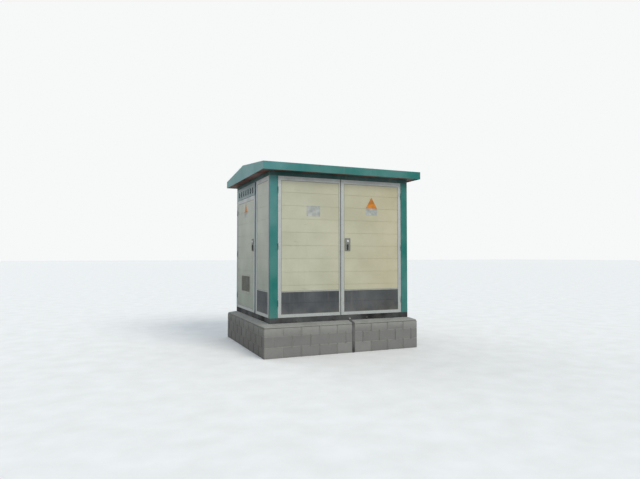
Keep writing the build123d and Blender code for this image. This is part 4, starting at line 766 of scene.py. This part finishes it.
applyAll(mortarLedge)
pick(mortarLedge)
bpy.ops.object.shade_smooth()
finishPiece(mortarLedge, "case", finishes["mortar"])
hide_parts("mortar_cap")
print("mortar cap:", len(mortarLedge.data.polygons), "faces")


# ---- plates on the doors: left bare, with a raised rim and a rivet at each corner

boardFaces = {"front": -1.038, "leftEnd": -1.218}
plates = {
    "rightLeafTriangle": {"kind": "triangle", "body": "front_right_leaf", "side": 0.208,
                          "at": (0.534, boardFaces["front"], 2.316)},
    "rightLeafPlate": {"kind": "plate", "body": "front_right_leaf", "size": (0.212, 0.110),
                       "at": (0.534, boardFaces["front"], 2.204)},
    "leftLeafPlate": {"kind": "plate", "body": "front_left_leaf", "size": (0.228, 0.167),
                      "at": (-0.504, boardFaces["front"], 2.155)},
    "endTriangle": {"kind": "triangle", "body": "left_end_leaf", "side": 0.190,
                    "at": (boardFaces["leftEnd"], 0.396, 2.305), "turn": -90},
    "endPlate": {"kind": "plate", "body": "left_end_leaf", "size": (0.190, 0.091),
                 "at": (boardFaces["leftEnd"], 0.396, 2.212), "turn": -90},
}
sheetOfPlate = 0.0014
plateCorner = {"triangle": 0.006, "plate": 0.005}
rivetInset = {"apex": 0.028, "side": 0.026, "foot": 0.015, "plate": 0.012}
rim = {"wide": 0.0035, "high": 0.0005}


def plateRim(piece):
    # the border stays up and the field is pressed down
    editFaces(piece, lambda face: face.normal.y < -0.9)
    bpy.ops.mesh.inset(thickness=rim["wide"], use_even_offset=True)
    bpy.ops.mesh.inset(thickness=rim["high"], depth=-rim["high"], use_even_offset=True)
    endEdit()


def roundCorners(piece, radius):
    # only the corners, seen from the front
    pick(piece)
    bpy.ops.object.mode_set(mode="EDIT")
    bpy.ops.mesh.select_mode(type="EDGE")
    bpy.ops.mesh.select_all(action="DESELECT")
    bpy.ops.object.mode_set(mode="OBJECT")
    for edge in piece.data.edges:
        ends = [piece.data.vertices[index].co for index in edge.vertices]
        edge.select = (ends[0] - ends[1]).normalized().cross(Vector((0, 1, 0))).length < 0.01
    bpy.ops.object.mode_set(mode="EDIT")
    bpy.ops.mesh.bevel(offset=radius, segments=4)
    endEdit()


rivetHead = {"middle": -0.0022, "radius": 0.0042, "height": 0.0016, "shoulder": 0.0012, "dome": 0.0006}
rivet = startRound("rivet", (0, rivetHead["middle"], 0), rivetHead["radius"], rivetHead["height"],
                   (math.radians(90), 0, 0), 14)
editFaces(rivet, lambda face: face.normal.y < -0.9)
bpy.ops.mesh.inset(thickness=rivetHead["shoulder"])
bpy.ops.mesh.extrude_region_move(TRANSFORM_OT_translate={"value": (0, -rivetHead["dome"], 0)})
bpy.ops.transform.resize(value=(0.8, 1, 0.8))
endEdit()
roundEdges(rivet, 0.0003, 1, 30)

for name, plate in plates.items():
    turn = math.radians(plate.get("turn", 0))
    if plate["kind"] == "triangle":
        side = plate["side"]
        tall = side * math.sqrt(3) / 2
        piece = startRound(name, (0, -sheetOfPlate / 2, tall / 3), side / math.sqrt(3), sheetOfPlate,
                           (math.radians(90), 0, 0), 3)
        corner = side / 2 - rivetInset["side"]
        spots = [(0, tall - rivetInset["apex"]), (-corner, rivetInset["foot"]), (corner, rivetInset["foot"])]
        finish = "amber_plate"
    else:
        wide, tall = plate["size"]
        piece = startBox(name, (-wide / 2, -sheetOfPlate, 0), (wide / 2, 0, tall))
        corner = wide / 2 - rivetInset["plate"]
        spots = [(x, z) for x in (-corner, corner) for z in (rivetInset["plate"], tall - rivetInset["plate"])]
        finish = "white_plate"
    roundCorners(piece, plateCorner[plate["kind"]])
    plateRim(piece)
    roundEdges(piece, 0.0003, 1, 40)
    copies = [copyTo(rivet, "rivetCopy", (x, 0, z)) for x, z in spots]
    rivets = joinPieces(name + "Rivets", copies)
    for part, look, slotName in ((piece, finish, "silver_aluminium"), (rivets, "zinc", "zinc")):
        part.rotation_euler = (0, 0, turn)
        part.location = plate["at"]
        settle(part)
        finishPiece(part, plate["body"], finishes[look])
bpy.data.objects.remove(rivet)
print("plates:", len(plates))


# ---- sealant between each board and its frame, darker than the boards so that it also paints the thin shade line inside the frames

sealant = {"wide": 0.006, "thick": 0.0012}
sealed = {
    "front_left_board": ("front_left_leaf", (0, -1)), "front_left_kick": ("front_left_leaf", (0, -1)),
    "front_right_board": ("front_right_leaf", (0, -1)), "front_right_kick": ("front_right_leaf", (0, -1)),
    "left_door_board": ("left_end_leaf", (-1, 0)), "right_door_board": ("right_end_leaf", (1, 0)),
    "right_door_kick": ("right_end_leaf", (1, 0)),
}


def beadRound(name, boardLow, boardHigh, out):
    # a frame of sealant on the face of a board, from one sheet with its middle taken out
    out = Vector((out[0], out[1], 0))
    middle = (boardLow + boardHigh) / 2
    half = (boardHigh - boardLow) / 2
    face = middle + Vector((out.x * half.x, out.y * half.y, 0))
    wide = 2 * (half.x if out.x == 0 else half.y)
    tall = 2 * half.z
    deselectAll()
    bpy.ops.mesh.primitive_plane_add(size=1, location=face, rotation=out.to_track_quat("Z", "Y").to_euler())
    piece = bpy.context.object
    piece.name = name
    piece.scale = (wide, tall, 1)
    settle(piece)
    editFaces(piece, lambda each: True)
    bpy.ops.mesh.inset(thickness=sealant["wide"])
    bpy.ops.mesh.delete(type="FACE")
    endEdit()
    addModifier(piece, "SOLIDIFY", thickness=sealant["thick"], offset=1)
    roundEdges(piece, 0.0004, 2, 40)
    return piece


for board, (body, out) in sealed.items():
    boardLow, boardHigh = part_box(board)
    bead = beadRound(board.replace("_", "") + "Seal", boardLow, boardHigh, out)
    finishPiece(bead, body, finishes["sealant"])

# the fixed boards: their faces from side to side, each with a kick board under it
fixedFaces = {
    "rearLeft": ((-1.0410, 1.038), (-0.0542, 1.038), (0, 1)),
    "rearRight": ((0.0542, 1.038), (1.0410, 1.038), (0, 1)),
    "endLeft": ((-1.218, -0.936), (-1.218, -0.335), (-1, 0)),
    "endRight": ((1.218, -0.936), (1.218, -0.335), (1, 0)),
}
fixedHeights = ((0.628, 0.975), (0.984, 2.704))
fixedBeads = []
for name, (start, end, out) in fixedFaces.items():
    for foot, head in fixedHeights:
        fixedBeads.append(beadRound(name + "Seal", Vector((*start, foot)), Vector((*end, head)), out))
finishPiece(joinPieces("fixedSeals", fixedBeads), "case", finishes["sealant"])
print("sealant:", len(sealed) + len(fixedBeads), "beads")


# ---- black rubber strips that paint the shade in the gaps: down the meeting line of the front leaves, and between the posts and the end frames

strip = {"wide": 0.010, "proud": 0.0016, "lip": 0.35, "leafFace": -1.040, "sunk": 0.001, "gap": 0.0012,
         "endGap": 0.002, "postEndGap": 0.004}


def shadeGapStrip(name, low, high, out):
    # a square cord whose outer face is pinched to a soft lip
    piece = startBox(name, low, high)
    editFaces(piece, lambda face: face.normal.dot(out) > 0.9)
    bpy.ops.mesh.inset(thickness=strip["wide"] * strip["lip"])
    bpy.ops.transform.translate(value=out * strip["proud"] * 0.5)
    endEdit()
    roundEdges(piece, 0.0005, 2, 20)
    return piece


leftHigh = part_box("front_left_frame")[1]
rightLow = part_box("front_right_frame")[0]
meeting = (leftHigh.x + rightLow.x) / 2
face = strip["leafFace"]
piece = shadeGapStrip("meetingStrip",
                    (meeting - strip["wide"], face - strip["proud"], rightLow.z + strip["endGap"]),
                    (meeting - strip["gap"], face + strip["sunk"], leftHigh.z - strip["endGap"]),
                    Vector((0, -1, 0)))
# the black strip paints the shade of the gap between the leaves
finishPiece(piece, "front_left_leaf", finishes["black_plastic"])
frameLow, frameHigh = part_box("fixed_frames")
half = strip["wide"] / 3  # the strips at the posts are narrower
strips = []
for way in (-1, 1):
    face = way * frameHigh.x
    ends = sorted((face - way * strip["sunk"], face + way * strip["proud"]))
    strips.append(shadeGapStrip("postStrip", (ends[0], frameLow.y - half, frameLow.z + strip["postEndGap"]),
                              (ends[1], frameLow.y + half, frameHigh.z - strip["postEndGap"]),
                              Vector((way, 0, 0))))
# these black strips paint the shade of the gaps at the posts
finishPiece(joinPieces("postStrips", strips), "case", finishes["black_plastic"])
print("rubber strips: 3")


# ---- bolts, nuts and screws: each kind is made once and set where it belongs

def makeHex(name, radius, height, washer=0.0):
    # a hexagon with chamfered corners on top, over a washer if it has one
    head = startRound(name, (0, 0, washer + height / 2), radius, height, sides=6)
    editFaces(head, lambda face: face.normal.z > 0.9)
    bpy.ops.mesh.inset(thickness=radius * 0.16)
    bpy.ops.transform.translate(value=(0, 0, radius * 0.07))
    endEdit()
    roundEdges(head, radius * 0.05, 2, 20)
    if not washer:
        return head
    ring = startRound(name + "Washer", (0, 0, washer / 2), radius * 1.5, washer, sides=28)
    roundEdges(ring, washer * 0.3, 2, 40)
    return joinPieces(name, [head, ring])


def makeScrew(name, radius):
    # a domed head with a driver's slot across it
    head = startRound(name, (0, 0, radius * 0.15), radius, radius * 0.3, sides=24)
    editFaces(head, lambda face: face.normal.z > 0.9)
    for share in (0.3, 0.35):
        bpy.ops.mesh.inset(thickness=radius * share)
        bpy.ops.transform.translate(value=(0, 0, radius * 0.12))
    endEdit()
    cutOut(head, startBox("slot", (-radius * 1.1, -radius * 0.12, radius * 0.32),
                          (radius * 1.1, radius * 0.12, radius)))
    roundEdges(head, radius * 0.05, 1, 30)
    return head


def setOut(name, pattern, spots, body, finish, turn=0.0, tilt=0.0):
    # the pattern at each spot, each copy turned a little differently about its own axis
    copies = []
    for spot in spots:
        pick(pattern)
        bpy.ops.object.duplicate()
        spun = bpy.context.object
        spun.rotation_euler = (0, 0, random.uniform(0, math.tau))
        settle(spun)
        copies.append(copyTo(spun, name + "Copy", spot, turn, tilt))
        bpy.data.objects.remove(spun)
    finishPiece(joinPieces(name, copies), body, finishes[finish])
    bpy.data.objects.remove(pattern)
    print(name + ":", len(spots))


upright = math.radians(90)
lid = {"x": 0.424, "front": -0.8305, "rear": -0.4205, "z": 1.492, "along": 7, "parts": 4, "between": (1, 3)}
lidSpots = [(lid["x"] * (2 * step / lid["along"] - 1), y, lid["z"]) for step in range(lid["along"] + 1)
            for y in (lid["front"], lid["rear"])]
lidSpots += [(x, lid["front"] + (lid["rear"] - lid["front"]) * step / lid["parts"], lid["z"])
             for x in (-lid["x"], lid["x"]) for step in lid["between"]]
setOut("lidBolts", makeHex("lidBolt", 0.009, 0.007, 0.002), lidSpots, "case", "zinc")

nuts = {
    "high": {"radius": 0.0165, "height": 0.014, "foot": 1.722, "row": -0.7205,
             "places": (-0.22, 0.0, 0.22)},
    "low": {"radius": 0.0125, "height": 0.010, "foot": 1.582, "row": -0.5305,
            "places": (-0.15, -0.05, 0.05, 0.15)},
}
for kind, nut in nuts.items():
    spots = [(x, nut["row"], nut["foot"]) for x in nut["places"]]
    setOut(kind + "Nuts", makeHex("studNut", nut["radius"], nut["height"]), spots, "case", "zinc")

covers = {"face": 0.804, "across": (0.0645, 0.7085), "rows": {(0.643, 1.203): 4, (1.887, 2.027): 2}}
coverSpots = [(covers["face"], y, foot + (head - foot) * step / (count - 1))
              for (foot, head), count in covers["rows"].items()
              for y in covers["across"] for step in range(count)]
setOut("coverBolts", makeHex("coverBolt", 0.0065, 0.005, 0.0015), coverSpots, "case", "zinc",
       tilt=upright)

# the breakers: middle height, height, middle across, distance between the poles
breakers = {"face": 0.105, "row": 0.3865, "poles": 4, "inset": 0.022, "feeders": (-0.24, 0.0, 0.24)}
units = [(1.765, 0.320, breakers["row"], 0.062)]
units += [(1.205, 0.240, breakers["row"] + off, 0.032) for off in breakers["feeders"]]
poleMiddle = (breakers["poles"] - 1) / 2
unitSpots = [(breakers["face"], middle + (step - poleMiddle) * pitch,
              rise + way * (tall / 2 - breakers["inset"]))
             for rise, tall, middle, pitch in units for step in range(breakers["poles"]) for way in (-1, 1)]
setOut("terminalScrews", makeScrew("terminalScrew", 0.008), unitSpots, "case", "zinc",
       tilt=-upright)

locks = {
    "front": ("front_right_leaf", (0.093, -1.046), (1, 0), -upright),
    "left": ("left_end_leaf", (-1.226, -0.069), (0, 1), math.pi),
    "right": ("right_end_leaf", (1.226, -0.069), (0, 1), 0.0),
}
lockPlate = {"middle": 1.716, "across": (-0.036, 0.036), "rises": (-0.091, 0.091)}
for side, (body, place, along, turn) in locks.items():
    spots = [(place[0] + along[0] * off, place[1] + along[1] * off, lockPlate["middle"] + rise)
             for off in lockPlate["across"] for rise in lockPlate["rises"]]
    setOut(side + "LockScrews", makeScrew("lockScrew", 0.0045), spots, body, "lock_plate_metal",
           turn, upright)

earthLug = (0.128, -1.0445, 0.520)
setOut("earthBolt", makeHex("earthBolt", 0.010, 0.008, 0.002), [earthLug], "case", "zinc",
       -upright, upright)


# ---- wire mesh behind the vent slots, against insects

mesh = {"pitch": 0.0125, "wire": 0.0022, "low": (-0.110, 2.588), "high": (0.910, 2.716), "inside": 1.2155}
wide = mesh["high"][0] - mesh["low"][0]
tall = mesh["high"][1] - mesh["low"][1]
for side, way in (("left", -1), ("right", 1)):
    deselectAll()
    bpy.ops.mesh.primitive_grid_add(
        x_subdivisions=round(tall / mesh["pitch"]), y_subdivisions=round(wide / mesh["pitch"]), size=1,
        location=(way * mesh["inside"], mesh["low"][0] + wide / 2, mesh["low"][1] + tall / 2),
        rotation=(0, upright, 0),
    )
    screen = bpy.context.object
    screen.name = side + "VentMesh"
    screen.scale = (tall, wide, 1)
    settle(screen)
    addModifier(screen, "WIREFRAME", thickness=mesh["wire"], use_even_offset=False)
    applyAll(screen)
    bpy.ops.object.shade_smooth()
    finishPiece(screen, "case", finishes["grey_teal_paint"])
print("vent mesh: 2 screens")


# ---- dial of the cabinet's pressure gauge: a bezel, a pale face and a needle

dial = {"at": (0.808, 0.3865, 1.715), "rim": 0.040, "wide": 0.006, "high": 0.004, "reading": -40,
        "needle": ((-0.0012, -0.006, 0.0027), (0.0012, 0.026, 0.0036)), "tip": 0.25,
        "hubMiddle": 0.0032, "hubRadius": 0.0032, "hubHeight": 0.0016}
bezel = startRound("gaugeBezel", (0, 0, dial["high"] / 2), dial["rim"], dial["high"], sides=48)
editFaces(bezel, lambda face: face.normal.z > 0.9)
bpy.ops.mesh.inset(thickness=dial["wide"] * 0.3)
bpy.ops.transform.translate(value=(0, 0, dial["wide"] * 0.25))
bpy.ops.mesh.inset(thickness=dial["wide"])
bpy.ops.transform.translate(value=(0, 0, -dial["high"] * 0.8))
endEdit()
roundEdges(bezel, 0.0004, 2, 30)
bezel.data.materials.append(finishes["black_plastic"])
bezel.data.materials.append(finishes["white_plate"])
for face in bezel.data.polygons:
    face.material_index = 1 if face.normal.z > 0.99 and face.center.z < dial["high"] * 0.6 else 0
needle = startBox("gaugeNeedle", *dial["needle"])
editFaces(needle, lambda face: face.normal.y > 0.9)
bpy.ops.transform.resize(value=(dial["tip"], 1, 1))
endEdit()
hub = startRound("gaugeHub", (0, 0, dial["hubMiddle"]), dial["hubRadius"], dial["hubHeight"], sides=20)
pointer = joinPieces("gaugeNeedle", [needle, hub])
roundEdges(pointer, 0.0002, 1, 30)
for piece, spin in ((bezel, 0.0), (pointer, math.radians(dial["reading"]))):
    piece.rotation_euler = (0, 0, spin)
    settle(piece)
    piece.rotation_euler = (0, upright, 0)
    piece.location = dial["at"]
    settle(piece)
    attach(piece, "case")
pointer.data.materials.append(finishes["black_plastic"])
print("gauge dial made")
